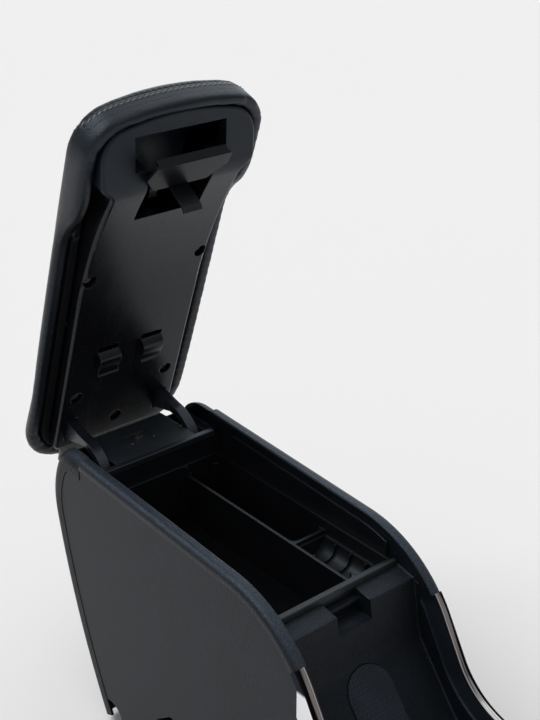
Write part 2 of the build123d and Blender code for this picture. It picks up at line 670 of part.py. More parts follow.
# Rear cover: a round-cornered back that turns over the top into two shoulders beside the hinge
with BuildPart() as rear_cover:
    with BuildSketch(BACK_SECTION):
        Rectangle(2 * HALF_W, RETURN_W, align=(Align.CENTER, Align.MIN))
        fillet(vertices().group_by(Axis.Y)[0], radius=BACK_ROUND)
        with BuildSketch(mode=Mode.PRIVATE) as hollow:
            with Locations((0, WALL)):
                Rectangle(2 * (HALF_W - WALL), RETURN_W, align=(Align.CENTER, Align.MIN))
            fillet(vertices().group_by(Axis.Y)[0], radius=BACK_ROUND - WALL)
        add(hollow.sketch, mode=Mode.SUBTRACT)
    sweep(path=back_path.wires()[0])
    with Locations((0, SEAM_Y, DECK_TOP)):
        Box(2 * RIM_IN, 2 * BIN_SETBACK + 2 * RETURN_W, RIM_RISE, align=CENTRED_UP, mode=Mode.SUBTRACT)
    for side in (1, -1):
        with BuildSketch(Plane.YZ.offset(side * SLOT_OUT)):
            with BuildLine():
                outer = back_edge(WALL / 2)
                Polyline(outer[1], (SEAM_Y, outer[1].Y), outer[0])
            make_face()
            with Locations((SEAM_Y + SEAT_GAP, DECK_TOP - WALL)):
                Rectangle(2 * BIN_SETBACK, RIM_RISE, align=(Align.MIN, Align.MIN), mode=Mode.INTERSECT)
        extrude(amount=side * (WELL_OUT - SLOT_OUT))
        with Locations((side * SLOT_OUT, SEAM_Y, DECK_TOP)):
            Box(2 * (RIM_IN - SLOT_OUT), 4 * BIN_SETBACK, RIM_RISE, align=CENTRED_UP, mode=Mode.SUBTRACT)
        with Locations((side * (SLOT_OUT + LINER_X) / 2, BAR_REAR + SEAT_GAP, DECK_TOP)):
            Box(LINER_X - SLOT_OUT, HINGE_Y - BAR_REAR, WALL, align=(Align.CENTER, Align.MIN, Align.MAX))
rear_cover.part.label = "rear_cover"
export_step(rear_cover.part, "parts/rear_cover.step")

# Side panels with the round notch at the lower rear corner and the slanted access slot
with BuildPart() as right_panel:
    with BuildSketch(Plane.YZ.offset(PANEL_IN)):
        with BuildLine():
            top = rim_edge(RIM_DEPTH + FIT)
            front = rail_edge(RIM_DEPTH + FIT)
            Polyline(front[1], (front[1].X, 0), (2 * HINGE_Y, 0), (2 * HINGE_Y, top[0].Y), top[0])
        make_face()
        with BuildSketch(mode=Mode.PRIVATE) as inside:
            with BuildLine():
                edge = back_edge(RETURN_W + FIT)
                Polyline(edge[1], (edge[1].X, 0), (PANEL_FRONT, 0), (PANEL_FRONT, RIM_TOP),
                         (SEAM_Y - FIT, RIM_TOP), (SEAM_Y - FIT, edge[0].Y), edge[0])
            make_face()
        add(inside.sketch, mode=Mode.INTERSECT)
        with Locations((edge[1].X, edge[1].Y)):
            Circle(PANEL_NOTCH_R, mode=Mode.SUBTRACT)
        with Locations((ACCESS_Y, ACCESS_Z)):
            SlotOverall(ACCESS_L, ACCESS_H, rotation=ACCESS_TILT, mode=Mode.SUBTRACT)
    extrude(amount=PANEL_T)
    with BuildSketch(Plane.YZ.offset(PANEL_IN)):
        with BuildLine():
            high = rim_edge(TONGUE_TOP)
            low = rim_edge(TONGUE_TOP + TONGUE_H)
            Line(high[0], low[0])
            Line(high[1], low[1])
        make_face()
    extrude(amount=-TONGUE_T)
right_panel.part.label = "right_panel"
export_step(right_panel.part, "parts/right_panel.step")

with BuildPart() as left_panel:
    mirror(right_panel.part, about=Plane.YZ)
left_panel.part.label = "left_panel"
export_step(left_panel.part, "parts/left_panel.step")

# Liner of the storage box, with the shelf behind it that carries the hinge
with BuildPart() as bin_liner:
    with BuildSketch(Plane.YZ.offset(LINER_IN)):
        with BuildLine():
            top = rim_edge(LINER_BELOW_RIM)
            Polyline(top[1], (top[1].X, LINER_Z), (top[0].X, LINER_Z), top[0])
        make_face()
        with Locations((LINER_FRONT, LINER_Z)):
            Rectangle(LINER_REAR - LINER_FRONT, RIM_TOP, align=(Align.MIN, Align.MIN), mode=Mode.INTERSECT)
        with Locations((LINER_FRONT + LINER_CUT_L, LEDGE_Z)):
            Rectangle(LINER_CUT_L, RIM_TOP, align=(Align.MAX, Align.MIN), mode=Mode.SUBTRACT)
        with Locations((BIN_REAR - LINER_STEP_L, RIM_TOP - LINER_BELOW_RIM - LINER_STEP_H)):
            Rectangle(BIN_SETBACK, RIM_TOP, align=(Align.MIN, Align.MIN), mode=Mode.SUBTRACT)
    extrude(amount=WALL)
    mirror(about=Plane.YZ)
    with Locations((0, LINER_FRONT, LINER_Z)):
        Box(2 * LINER_X, LINER_REAR - LINER_FRONT, WALL, align=(Align.CENTER, Align.MIN, Align.MIN))
        Box(2 * LINER_X, WALL, LEDGE_Z - LINER_Z, align=(Align.CENTER, Align.MIN, Align.MIN))
    with Locations((0, LINER_REAR, LINER_Z)):
        Box(2 * LINER_X, WALL, LINER_REAR_TOP - LINER_Z, align=(Align.CENTER, Align.MAX, Align.MIN))
    with Locations((0, LINER_REAR, SHELF_TOP)):
        Box(2 * SHELF_X, SHELF_L, WALL, align=(Align.CENTER, Align.MIN, Align.MAX))
    with Locations((0, HINGE_Y - COVER_SCREW, SHELF_TOP)):
        Cylinder(POST_R, DECK_TOP - SHELF_TOP, align=CENTRED_UP)
    with Locations((0, HINGE_Y - COVER_SCREW, DECK_TOP)):
        Cylinder(SCREW_R + SCREW_GAP, SCREW_L, align=CENTRED_DOWN, mode=Mode.SUBTRACT)
    with Locations(*BRACKET_SPOTS):
        Cylinder(SCREW_R + SCREW_GAP, BIN_DEPTH, mode=Mode.SUBTRACT)
bin_liner.part.label = "bin_liner"
export_step(bin_liner.part, "parts/bin_liner.step")

# Storage tray in the liner: one long place, one short place and a coin trough
with BuildPart() as storage_tray:
    with Locations((0, BIN_FRONT + SEAT_GAP, TRAY_Z)):
        Box(2 * TRAY_X, BIN_LENGTH - 2 * SEAT_GAP, TRAY_TOP - TRAY_Z,
            align=(Align.CENTER, Align.MIN, Align.MIN))
    with BuildSketch(Plane.XY.offset(TRAY_FLOOR)):
        with Locations((-TRAY_IN, TRAY_FRONT)):
            RectangleRounded(LONG_W, TRAY_REAR - TRAY_FRONT, TRAY_CORNER_R, align=(Align.MIN, Align.MIN))
        with Locations((TRAY_IN, TRAY_REAR)):
            RectangleRounded(SHORT_W, TRAY_REAR - SHORT_FRONT, TRAY_CORNER_R, align=(Align.MAX, Align.MAX))
    extrude(amount=RIM_TOP, mode=Mode.SUBTRACT)
    with Locations((TRAY_IN, TRAY_FRONT, TRAY_Z)):
        Box(SHORT_W, COIN_L, COIN_TOP - TRAY_WALL - TRAY_Z, align=(Align.MAX, Align.MIN, Align.MIN),
            mode=Mode.SUBTRACT)
    with Locations((TRAY_IN, TRAY_REAR, DIVIDER_TOP)):
        Box(SHORT_W + TRAY_WALL, TRAY_REAR - TRAY_FRONT, TRAY_RIM * 4,
            align=(Align.MAX, Align.MAX, Align.MIN),
            mode=Mode.SUBTRACT)
    with Locations((TRAY_IN, TRAY_FRONT, COIN_TOP)):
        Box(SHORT_W, COIN_L, TRAY_RIM * 4, align=(Align.MAX, Align.MIN, Align.MIN), mode=Mode.SUBTRACT)
    with BuildSketch(Plane.XZ.offset(-TRAY_FRONT)):
        with Locations((COIN_X, COIN_TOP)):
            Circle(COIN_R + TRAY_WALL)
            Rectangle(4 * COIN_R, 4 * COIN_R, align=(Align.CENTER, Align.MIN), mode=Mode.SUBTRACT)
    extrude(amount=-COIN_L)
    with BuildSketch(Plane.XZ.offset(-TRAY_FRONT - COIN_RIB)):
        with Locations((COIN_X, COIN_TOP)):
            Circle(COIN_R)
    extrude(amount=2 * COIN_RIB - COIN_L, mode=Mode.SUBTRACT)
    for rib in (-1, 0, 1):
        with BuildSketch(Plane.XZ.offset(-TRAY_FRONT - COIN_L / 2 - rib * COIN_PITCH)):
            with Locations((COIN_X, COIN_TOP)):
                Circle(COIN_R)
                Circle(COIN_R - COIN_RIB_H, mode=Mode.SUBTRACT)
                Rectangle(4 * COIN_R, 4 * COIN_R, align=(Align.CENTER, Align.MIN), mode=Mode.SUBTRACT)
        extrude(amount=-COIN_RIB)
storage_tray.part.label = "storage_tray"
export_step(storage_tray.part, "parts/storage_tray.step")

# Loose mats on the two floors of the tray
with BuildPart() as tray_mats:
    with BuildSketch(Plane.XY.offset(TRAY_FLOOR)):
        with Locations((MAT_GAP - TRAY_IN, TRAY_FRONT + MAT_GAP)):
            RectangleRounded(LONG_W - 2 * MAT_GAP, TRAY_REAR - TRAY_FRONT - 2 * MAT_GAP, TRAY_CORNER_R,
                             align=(Align.MIN, Align.MIN))
        with Locations((TRAY_IN - MAT_GAP, TRAY_REAR - MAT_GAP)):
            RectangleRounded(SHORT_W - 2 * MAT_GAP, TRAY_REAR - SHORT_FRONT - 2 * MAT_GAP, TRAY_CORNER_R,
                             align=(Align.MAX, Align.MAX))
    extrude(amount=MAT_T)
tray_mats.part.label = "tray_mats"
export_step(tray_mats.part, "parts/tray_mats.step")

# Trim bar over the rear edge of the box
with BuildPart() as trim_bar:
    with Locations((0, BAR_FRONT, LINER_REAR_TOP)):
        Box(2 * (LINER_X - BAR_SHORT), BAR_W, BAR_H, align=(Align.CENTER, Align.MIN, Align.MIN))
    fillet(trim_bar.faces().sort_by(Axis.Z)[-1].edges(), radius=BAR_LIP)
trim_bar.part.label = "trim_bar"
export_step(trim_bar.part, "parts/trim_bar.step")

# Cover plate over the hinge, between the slots for the arms
with BuildPart() as cover_plate:
    with Locations((0, BAR_REAR + SEAT_GAP, DECK_TOP)):
        Box(2 * SLOT_IN, HINGE_Y + COVER_BEHIND - BAR_REAR, COVER_T,
            align=(Align.CENTER, Align.MIN, Align.MIN))
    fillet(cover_plate.faces().sort_by(Axis.Z)[-1].edges(), radius=COVER_DISH_D)
    with Locations((0, HINGE_Y - COVER_SEAM, COVER_TOP)):
        Box(2 * SLOT_IN, COVER_SEAM_W, 2 * COVER_SEAM_D, mode=Mode.SUBTRACT)
    with Locations((0, HINGE_Y - COVER_SCREW, COVER_TOP)):
        Box(COVER_DISH_W, COVER_DISH_L, 2 * COVER_DISH_D, mode=Mode.SUBTRACT)
        Cylinder(SCREW_R + SCREW_GAP, BIN_DEPTH, mode=Mode.SUBTRACT)
cover_plate.part.label = "cover_plate"
export_step(cover_plate.part, "parts/cover_plate.step")

COVER_SEAT = Plane(origin=(0, HINGE_Y - COVER_SCREW, COVER_TOP - COVER_DISH_D), z_dir=(0, 0, -1))
with BuildPart(COVER_SEAT) as plate_screw:
    pan_screw(SCREW_HEAD_R, SCREW_HEAD_H, SCREW_R, SCREW_L)
plate_screw.part.label = "plate_screw"
export_step(plate_screw.part, "parts/plate_screw.step")

# Hinge brackets on the shelf, each with an ear that holds the pin
with BuildPart() as right_bracket:
    with Locations((EAR_OUT, HINGE_Y + EAR_R, SHELF_TOP)):
        Box(FLANGE_W, FLANGE_L, BRACKET_T, align=(Align.MAX, Align.MAX, Align.MIN))
    with BuildSketch(Plane.YZ.offset(EAR_IN)):
        with Locations((HINGE_Y, HINGE_Z)):
            Circle(EAR_R)
        Polygon((HINGE_Y + EAR_R, SHELF_TOP), (HINGE_Y + EAR_R, HINGE_Z), (HINGE_Y - EAR_R, HINGE_Z),
                (HINGE_Y + EAR_R - FLANGE_L, SHELF_TOP), align=None)
        with Locations((HINGE_Y, HINGE_Z)):
            Circle(PIN_R, mode=Mode.SUBTRACT)
    extrude(amount=EAR_T)
    with Locations(*BRACKET_SPOTS):
        Cylinder(SCREW_R + SCREW_GAP, BIN_DEPTH, mode=Mode.SUBTRACT)
right_bracket.part.label = "right_bracket"
export_step(right_bracket.part, "parts/right_bracket.step")

with BuildPart() as left_bracket:
    mirror(right_bracket.part, about=Plane.YZ)
left_bracket.part.label = "left_bracket"
export_step(left_bracket.part, "parts/left_bracket.step")

BRACKET_SEAT = Plane(origin=(0, 0, SHELF_TOP + BRACKET_T), x_dir=(1, 0, 0), z_dir=(0, 0, -1))
with BuildPart(BRACKET_SEAT) as bracket_screws:
    with Locations(*[(spot[0], -spot[1]) for spot in BRACKET_SPOTS]):
        pan_screw(SCREW_HEAD_R, SCREW_HEAD_H, SCREW_R, BRACKET_T + 2 * WALL)
bracket_screws.part.label = "bracket_screws"
export_step(bracket_screws.part, "parts/bracket_screws.step")

# Hinge pin, and the washers between ears and arms
with BuildPart() as hinge_pin:
    with BuildSketch(Plane.YZ):
        with Locations((HINGE_Y, HINGE_Z)):
            Circle(PIN_R)
    extrude(amount=ARM_OUT + PIN_OVER, both=True)
    chamfer(hinge_pin.edges().filter_by(GeomType.CIRCLE), length=PIN_R / 8)
hinge_pin.part.label = "hinge_pin"
export_step(hinge_pin.part, "parts/hinge_pin.step")

with BuildPart() as hinge_washers:
    with BuildSketch(Plane.YZ.offset(EAR_OUT)):
        with Locations((HINGE_Y, HINGE_Z)):
            Circle(BUSH_R)
            Circle(PIN_R + RUN, mode=Mode.SUBTRACT)
    extrude(amount=BUSH_T)
    mirror(about=Plane.YZ)
hinge_washers.part.label = "hinge_washers"
export_step(hinge_washers.part, "parts/hinge_washers.step")

# Floor brackets between the side panels, each with two bolt holes
with BuildPart() as front_floor_bracket:
    with Locations((0, -BOLT_Y / 2, 0)):
        Box(2 * PANEL_IN, FLOOR_W, FLOOR_LEG, align=CENTRED_UP)
    with Locations((0, -BOLT_Y / 2, FLOOR_T)):
        Box(2 * (PANEL_IN - FLOOR_T), FLOOR_W, FLOOR_LEG, align=CENTRED_UP, mode=Mode.SUBTRACT)
    with Locations((BOLT_X / 2, -BOLT_Y / 2, 0), (-BOLT_X / 2, -BOLT_Y / 2, 0)):
        Cylinder(BOLT_R, FLOOR_LEG, mode=Mode.SUBTRACT)
front_floor_bracket.part.label = "front_floor_bracket"
export_step(front_floor_bracket.part, "parts/front_floor_bracket.step")

with BuildPart() as rear_floor_bracket:
    mirror(front_floor_bracket.part, about=Plane.XZ)
rear_floor_bracket.part.label = "rear_floor_bracket"
export_step(rear_floor_bracket.part, "parts/rear_floor_bracket.step")

# Padding of the lid: a soft solid, domed across, that wraps the core and drops round the latch boss
with BuildPart() as lid_pad:
    with BuildSketch(LID.offset(PAD_LOW)):
        with BuildLine():
            lid_edge(PAD_X, PAD_NOSE, LID_BEHIND)
        make_face()
        lid_corners(0)
    extrude(amount=PAD_TOP - PAD_LOW)
    with BuildSketch(LID_END):
        with Locations((0, PAD_TOP - DOME_R)):
            Circle(DOME_R)
    extrude(amount=-2 * PAD_NOSE, both=True, mode=Mode.INTERSECT)
    fillet(lid_pad.faces().sort_by(Axis(LID.origin, LID.z_dir))[-1].edges(), radius=PAD_TOP_R)
    with BuildSketch(LID_SIDE):
        with BuildLine():
            dip_edge()
        make_face()
    extrude(amount=2 * PAD_X, both=True, mode=Mode.SUBTRACT)
    fillet(lower_outline(lid_pad), radius=PAD_LOW_R)
    with BuildSketch(LID):
        with BuildLine():
            lid_edge(CORE_X, CORE_NOSE, CORE_BEHIND)
        make_face()
        lid_corners(PAD_SKIRT)
    extrude(amount=PAD_RISE + CORE_H + CORE_GAP, mode=Mode.SUBTRACT)
    with BuildSketch(LID):
        with BuildLine():
            inner_edge(-CORE_GAP)
        make_face()
        fillet(vertices().group_by(Axis.Y)[0], radius=BOSS_CORNER_R)
    extrude(amount=PAD_RISE + CORE_GAP, mode=Mode.SUBTRACT)
lid_pad.part.label = "lid_pad"
export_step(lid_pad.part, "parts/lid_pad.step")

# Core of the lid: a ribbed tray with screw posts that carries padding, inner panel and arms
with BuildPart() as lid_core:
    with BuildSketch(LID.offset(PAD_RISE)):
        with BuildLine():
            lid_edge(CORE_X - CORE_GAP, CORE_NOSE + CORE_GAP, CORE_BEHIND - CORE_GAP)
        make_face()
        lid_corners(PAD_SKIRT)
    extrude(amount=CORE_H)
    with BuildSketch(LID.offset(PAD_RISE)):
        with BuildLine():
            lid_edge(CORE_IN, CORE_NOSE + CORE_RIM, CORE_BEHIND - CORE_RIM)
        make_face()
        lid_corners(PAD_SKIRT + CORE_RIM)
    extrude(amount=CORE_H - CORE_T, mode=Mode.SUBTRACT)
    with BuildSketch(LID.offset(PAD_RISE)):
        latch_opening(RECESS_WALL + CORE_GAP)
    extrude(amount=CORE_H, mode=Mode.SUBTRACT)
    with BuildSketch(LID.offset(CUP_TOP)):
        with Locations(*SCREW_SPOTS):
            Circle(CORE_POST_R)
    extrude(amount=CORE_UNDER - CUP_TOP)
    with BuildSketch(LID.offset(CUP_TOP)):
        with Locations(*SCREW_SPOTS):
            Circle(SCREW_R + SCREW_GAP)
    extrude(amount=SCREW_L, mode=Mode.SUBTRACT)
    with BuildSketch(LID.offset(CORE_UNDER)):
        with Locations(*FOOT_SPOTS):
            Circle(SCREW_R + SCREW_GAP)
    extrude(amount=CORE_T, mode=Mode.SUBTRACT)
lid_core.part.label = "lid_core"
export_step(lid_core.part, "parts/lid_core.step")

# Space inside the inner panel, above its skin
with BuildPart() as inner_space:
    with BuildSketch(LID_SIDE):
        with BuildLine():
            boss_edge(WALL, CORE_UNDER)
        make_face()
    extrude(amount=PAD_X, both=True)
    with BuildSketch(LID):
        with BuildLine():
            inner_edge(WALL)
        make_face()
        fillet(vertices().group_by(Axis.Y)[-1], radius=INNER_CORNER_R)
        fillet(vertices().group_by(Axis.Y)[1] + vertices().group_by(Axis.Y)[2], radius=BOSS_FLARE_R)
        fillet(vertices().group_by(Axis.Y)[0], radius=BOSS_CORNER_R)
    extrude(amount=2 * CORE_UNDER, mode=Mode.INTERSECT)

# Walls of the finger recess and its throat, as high as the roof of the recess
with BuildPart() as latch_box:
    with BuildSketch(LID_SIDE):
        with BuildLine():
            boss_edge(WALL / 2, RECESS_RISE + RECESS_WALL)
        make_face()
    extrude(amount=PAD_X, both=True)
    with BuildSketch(LID):
        latch_opening(RECESS_WALL)
    extrude(amount=2 * CORE_UNDER, mode=Mode.INTERSECT)

# Inner panel of the lid: a skin with the latch boss, screw cups, clips and openings for the arms
with BuildPart() as inner_panel:
    with BuildSketch(LID_SIDE):
        with BuildLine():
            boss_edge(0, PAD_RISE)
        make_face()
    extrude(amount=PAD_X, both=True)
    with BuildSketch(LID):
        with BuildLine():
            inner_edge(0)
        make_face()
        fillet(vertices().group_by(Axis.Y)[-1], radius=INNER_CORNER_R)
        fillet(vertices().group_by(Axis.Y)[1] + vertices().group_by(Axis.Y)[2], radius=BOSS_FLARE_R)
        fillet(vertices().group_by(Axis.Y)[0], radius=BOSS_CORNER_R)
    extrude(amount=2 * CORE_UNDER, mode=Mode.INTERSECT)
    fillet(lower_outline(inner_panel), radius=BOSS_SOFT)
    add(inner_space.part, mode=Mode.SUBTRACT)
    with BuildSketch(LID.offset(INNER_RISE)):
        with Locations(*SCREW_SPOTS):
            Circle(CUP_R + CUP_WALL)
    extrude(amount=CUP_TOP - INNER_RISE)
    with BuildSketch(LID):
        with Locations(*SCREW_SPOTS):
            Circle(CUP_R)
    extrude(amount=SCREW_SEAT, mode=Mode.SUBTRACT)
    with BuildSketch(LID.offset(INNER_RISE)):
        with Locations(*SCREW_SPOTS):
            Circle(SCREW_R + SCREW_GAP)
    extrude(amount=CUP_TOP, mode=Mode.SUBTRACT)
    add(latch_box.part)
    with BuildSketch(LID):
        latch_opening(0)
    extrude(amount=RECESS_RISE, mode=Mode.SUBTRACT)
    with BuildSketch(LID_SIDE):
        with Locations((PIVOT_Y, PIVOT_RISE)):
            Circle(LATCH_PIN_R)
    extrude(amount=THROAT_W / 2 + RECESS_WALL, both=True, mode=Mode.SUBTRACT)
    with BuildSketch(LID.offset(INNER_RISE)):
        with Locations((ARM_X, FOOT_MID), (-ARM_X, FOOT_MID)):
            Rectangle(ARM_W + 2 * SLOT_GAP, FOOT_L + 4 * SLOT_GAP)
        with Locations((CLIP_X, CLIP_SLOT_Y), (-CLIP_X, CLIP_SLOT_Y)):
            Rectangle(CLIP_W, CLIP_SLOT)
    extrude(amount=WALL, mode=Mode.SUBTRACT)
    for side in (1, -1):
        with BuildSketch(LID_SIDE.offset(side * CLIP_X)):
            with BuildLine():
                Spline((-CLIP_Y - CLIP_L, INNER_RISE + CLIP_T / 2),
                       (-CLIP_Y - CLIP_L * 0.6, INNER_RISE - CLIP_PROUD),
                       (-CLIP_Y - CLIP_L * 0.25, INNER_RISE - CLIP_WAIST), (-CLIP_Y,
                        INNER_RISE - CLIP_PROUD))
            trace(line_width=CLIP_T)
        extrude(amount=CLIP_W / 2, both=True)
inner_panel.part.label = "inner_panel"
export_step(inner_panel.part, "parts/inner_panel.step")

with BuildPart(LID.offset(SCREW_SEAT)) as lid_screws:
    with Locations(*SCREW_SPOTS):
        pan_screw(SCREW_HEAD_R, SCREW_HEAD_H, SCREW_R, SCREW_L)
lid_screws.part.label = "lid_screws"
export_step(lid_screws.part, "parts/lid_screws.step")

# Gooseneck arms: a hub on the pin, a strap that swings round under the deck, and a foot in the lid
with BuildPart() as right_arm:
    with BuildSketch(LID_SIDE.offset(ARM_IN)):
        Circle(ARM_R)
        Circle(ARM_R - ARM_T, mode=Mode.SUBTRACT)
        Polygon((0, 0), (-2 * ARM_R, ARM_R), (-2 * ARM_R, -2 * ARM_R), (0, -2 * ARM_R),
                align=None, mode=Mode.INTERSECT)
        Polygon((ARM_LAP - ARM_R, ARM_HUB_R), (-FOOT_Y - FOOT_L, INNER_RISE),
                (-FOOT_Y - FOOT_L, CORE_UNDER),
                (-FOOT_Y, CORE_UNDER), (-FOOT_Y, INNER_RISE), (ARM_T - ARM_R + ARM_LAP, ARM_HUB_R),
                align=None)
        Circle(ARM_HUB_R)
        Polygon((-ARM_WEB_W, 0), (ARM_HUB_R, 0), (0, ARM_LAP - ARM_R), (-ARM_WEB_W, 2 * ARM_LAP - ARM_R),
                align=None)
        Circle(PIN_R + RUN, mode=Mode.SUBTRACT)
    extrude(amount=ARM_W)
    with Locations(LID.location * Location((ARM_IN, FOOT_MID, CORE_UNDER))):
        Box(FOOT_W, FOOT_L, FOOT_T, align=(Align.MAX, Align.CENTER, Align.MAX))
    with BuildSketch(LID):
        with Locations(FOOT_SPOTS[0]):
            Circle(SCREW_R + SCREW_GAP)
    extrude(amount=2 * CORE_UNDER, mode=Mode.SUBTRACT)
right_arm.part.label = "right_arm"
export_step(right_arm.part, "parts/right_arm.step")

with BuildPart() as left_arm:
    mirror(right_arm.part, about=Plane.YZ)
left_arm.part.label = "left_arm"
export_step(left_arm.part, "parts/left_arm.step")

with BuildPart(LID.offset(CORE_UNDER - FOOT_T)) as arm_screws:
    with Locations(*FOOT_SPOTS):
        pan_screw(SCREW_HEAD_R, SCREW_HEAD_H, SCREW_R, FOOT_T + CORE_T - CORE_GAP)
arm_screws.part.label = "arm_screws"
export_step(arm_screws.part, "parts/arm_screws.step")

# Latch: a pin across the throat, the finger paddle, the hook and the leaf spring behind them
with BuildPart() as latch_pin:
    with BuildSketch(LID_SIDE):
        with Locations((PIVOT_Y, PIVOT_RISE)):
            Circle(LATCH_PIN_R)
    extrude(amount=THROAT_W / 2 + RECESS_WALL, both=True)
latch_pin.part.label = "latch_pin"
export_step(latch_pin.part, "parts/latch_pin.step")

with BuildPart() as latch_paddle:
    with BuildSketch(PADDLE):
        Polygon((PADDLE_ROOT_W / 2, 0), (PADDLE_W / 2, -PADDLE_TAPER_L), (PADDLE_TIP_W / 2, -PADDLE_L),
                (-PADDLE_TIP_W / 2, -PADDLE_L), (-PADDLE_W / 2,
                 -PADDLE_TAPER_L), (-PADDLE_ROOT_W / 2, 0), align=None)
        fillet(vertices(), radius=PADDLE_T)
    extrude(amount=PADDLE_T)
    with Locations(PADDLE.location * Location((0, -PADDLE_L, 0))):
        Box(PADDLE_TIP_W - 2 * PADDLE_T, PADDLE_T, PADDLE_T + LIP_H,
            align=(Align.CENTER, Align.MIN, Align.MIN))
    for side in (1, -1):
        with BuildSketch(LID_SIDE.offset(side * KNUCKLE_X)):
            with Locations((PIVOT_Y, PIVOT_RISE)):
                Circle(KNUCKLE_R)
            Polygon((PIVOT_Y - KNUCKLE_R, PIVOT_RISE), (PIVOT_Y - KNUCKLE_R, PADDLE_RISE),
                    (PADDLE_Y, PADDLE_RISE + PADDLE_T),
                    (PIVOT_Y + KNUCKLE_R, PIVOT_RISE), align=None)
        extrude(amount=KNUCKLE_L / 2, both=True)
    with BuildSketch(LID_SIDE):
        with Locations((PIVOT_Y, PIVOT_RISE)):
            Circle(LATCH_PIN_R + RUN)
    extrude(amount=PAD_X, both=True, mode=Mode.SUBTRACT)
latch_paddle.part.label = "latch_paddle"
export_step(latch_paddle.part, "parts/latch_paddle.step")

with BuildPart() as latch_hook:
    with BuildSketch(LID_SIDE):
        with BuildLine():
            Polyline((PIVOT_Y + KNUCKLE_R - HOOK_T / 2, PIVOT_RISE), (PADDLE_Y + HOOK_T, PADDLE_RISE),
                     (PADDLE_Y + HOOK_T + HOOK_LEAN, PADDLE_RISE - HOOK_DROP), (HOOK_TIP,
                      PADDLE_RISE - HOOK_DROP - HOOK_NOSE))
        trace(line_width=HOOK_T)
        with Locations((PIVOT_Y, PIVOT_RISE)):
            Circle(KNUCKLE_R)
            Circle(LATCH_PIN_R + RUN, mode=Mode.SUBTRACT)
    extrude(amount=KNUCKLE_X - KNUCKLE_L / 2, both=True)
latch_hook.part.label = "latch_hook"
export_step(latch_hook.part, "parts/latch_hook.step")

with BuildPart() as latch_spring:
    with BuildSketch(LID_SIDE):
        with BuildLine():
            Polyline((THROAT_REAR, SPRING_RISE), (THROAT_REAR - SPRING_L, SPRING_RISE),
                     (PIVOT_Y + KNUCKLE_R + SPRING_GAP + SPRING_T, PIVOT_RISE + KNUCKLE_R))
        trace(line_width=SPRING_T)
    extrude(amount=SPRING_W / 2, both=True)
latch_spring.part.label = "latch_spring"
export_step(latch_spring.part, "parts/latch_spring.step")
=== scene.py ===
"""Looks of a car centre armrest: a box between two rims, with a padded lid tilted open on two arms."""

import math

import bpy
from mathutils import Matrix, Vector
from mathutils.bvhtree import BVHTree
from mathutils.kdtree import KDTree


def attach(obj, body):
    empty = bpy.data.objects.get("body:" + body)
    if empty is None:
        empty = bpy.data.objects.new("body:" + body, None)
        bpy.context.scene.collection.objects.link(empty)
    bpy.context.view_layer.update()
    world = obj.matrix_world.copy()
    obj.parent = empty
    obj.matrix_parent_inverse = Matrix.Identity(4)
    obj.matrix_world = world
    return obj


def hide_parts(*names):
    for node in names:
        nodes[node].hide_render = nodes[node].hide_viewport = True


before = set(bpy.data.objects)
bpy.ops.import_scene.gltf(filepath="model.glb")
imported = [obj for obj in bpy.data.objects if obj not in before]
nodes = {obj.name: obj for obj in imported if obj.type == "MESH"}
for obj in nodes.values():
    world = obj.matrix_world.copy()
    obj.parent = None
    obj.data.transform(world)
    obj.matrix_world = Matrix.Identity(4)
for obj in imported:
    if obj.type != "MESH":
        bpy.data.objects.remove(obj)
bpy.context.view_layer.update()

MM = 0.001

# Where the lid's own closed-shape coordinates sit in the frame.
HINGE = Vector((0, 0.2, 0.24))
LID_OPEN = math.radians(70)

# The leather cover of the lid and the core under it, in the lid's own coordinates.
LID_HALF_W = 89 * MM
LID_FRONT_Y = -382.5 * MM
LID_BACK_Y = 19 * MM
LID_CORNER_R = 38 * MM
CORE_TOP_Z = 59.5 * MM
CORE_HALF_W = 78 * MM
CORE_FRONT_Y = -377 * MM
CORE_BACK_Y = 9 * MM

# How the cover is meshed, how far it settles and how its filling swells it.
COVER_VOXEL = 3.1 * MM
FRONT_DROP = 5 * MM
REAR_CORNER_PULL = 12 * MM
SWELL_MOST = 5 * MM
SWELL_STEPS = 20

# The stitches, sought on the cover along lines of sight from outside, and the seam above them.
STITCH_FRONT_Z = 45 * MM
STITCH_SIDE_Z = 54 * MM
STITCH_SIDE_LIFT = math.radians(58)
STITCH_FRONT_INSET = 10 * MM
STITCH_SIDE_INSET = 12 * MM
STITCH_SUNK = 0.42 * MM
STITCH_RAISED = 0.12 * MM
SIGHT_START = 60 * MM
STITCH_PITCH = 5.6 * MM
STITCH_LENGTH = 4.2 * MM
STITCH_WIDTH = 1.0 * MM
STITCH_SLANT = math.radians(14)
SEAM_ABOVE = 4.5 * MM
SEAM_STEP = 1.4 * MM
SEAM_REACH = 12 * MM
SEAM_PULL_REACH = 6 * MM
SEAM_DEPTH = 0.45 * MM
SEAM_HALF_W = 1.8 * MM

# The strip at the rear end of the inner panel, whose grey is painted light, two corners in the lid's own
# millimetres.
REAR_STRIP = ((-58, -7, 34.3), (58, 8.5, 36.5))
REAR_STRIP_EDGE = 0.7 * MM

# Where finishes change on the inner panel, in the lid's own coordinates, with its painted shade in the
# recess and painted light on the rear end.
BOSS_START_Y = -300 * MM
BOSS_FULL_Y = -322 * MM
RECESS_HALF_W = 45.6 * MM
RECESS_FRONT_Y = -360.6 * MM
RECESS_BACK_Y = -278.4 * MM
RECESS_LOW_Z = 29 * MM
RECESS_HIGH_Z = 33 * MM
PANEL_END_Y = (-11.5 * MM, -2 * MM)
FINISH_EDGE = 0.3 * MM

# Where finishes change on the console, in the frame, with its painted shade, painted glints and painted
# reflections.
# The rims' inner edge bounds the painted top light and the painted shade of the front well, which starts at
# FRONT_WALL_Y.
RIM_INNER_X = 66 * MM
FRONT_WALL_Y = -109 * MM
GROOVE_Y = 176 * MM
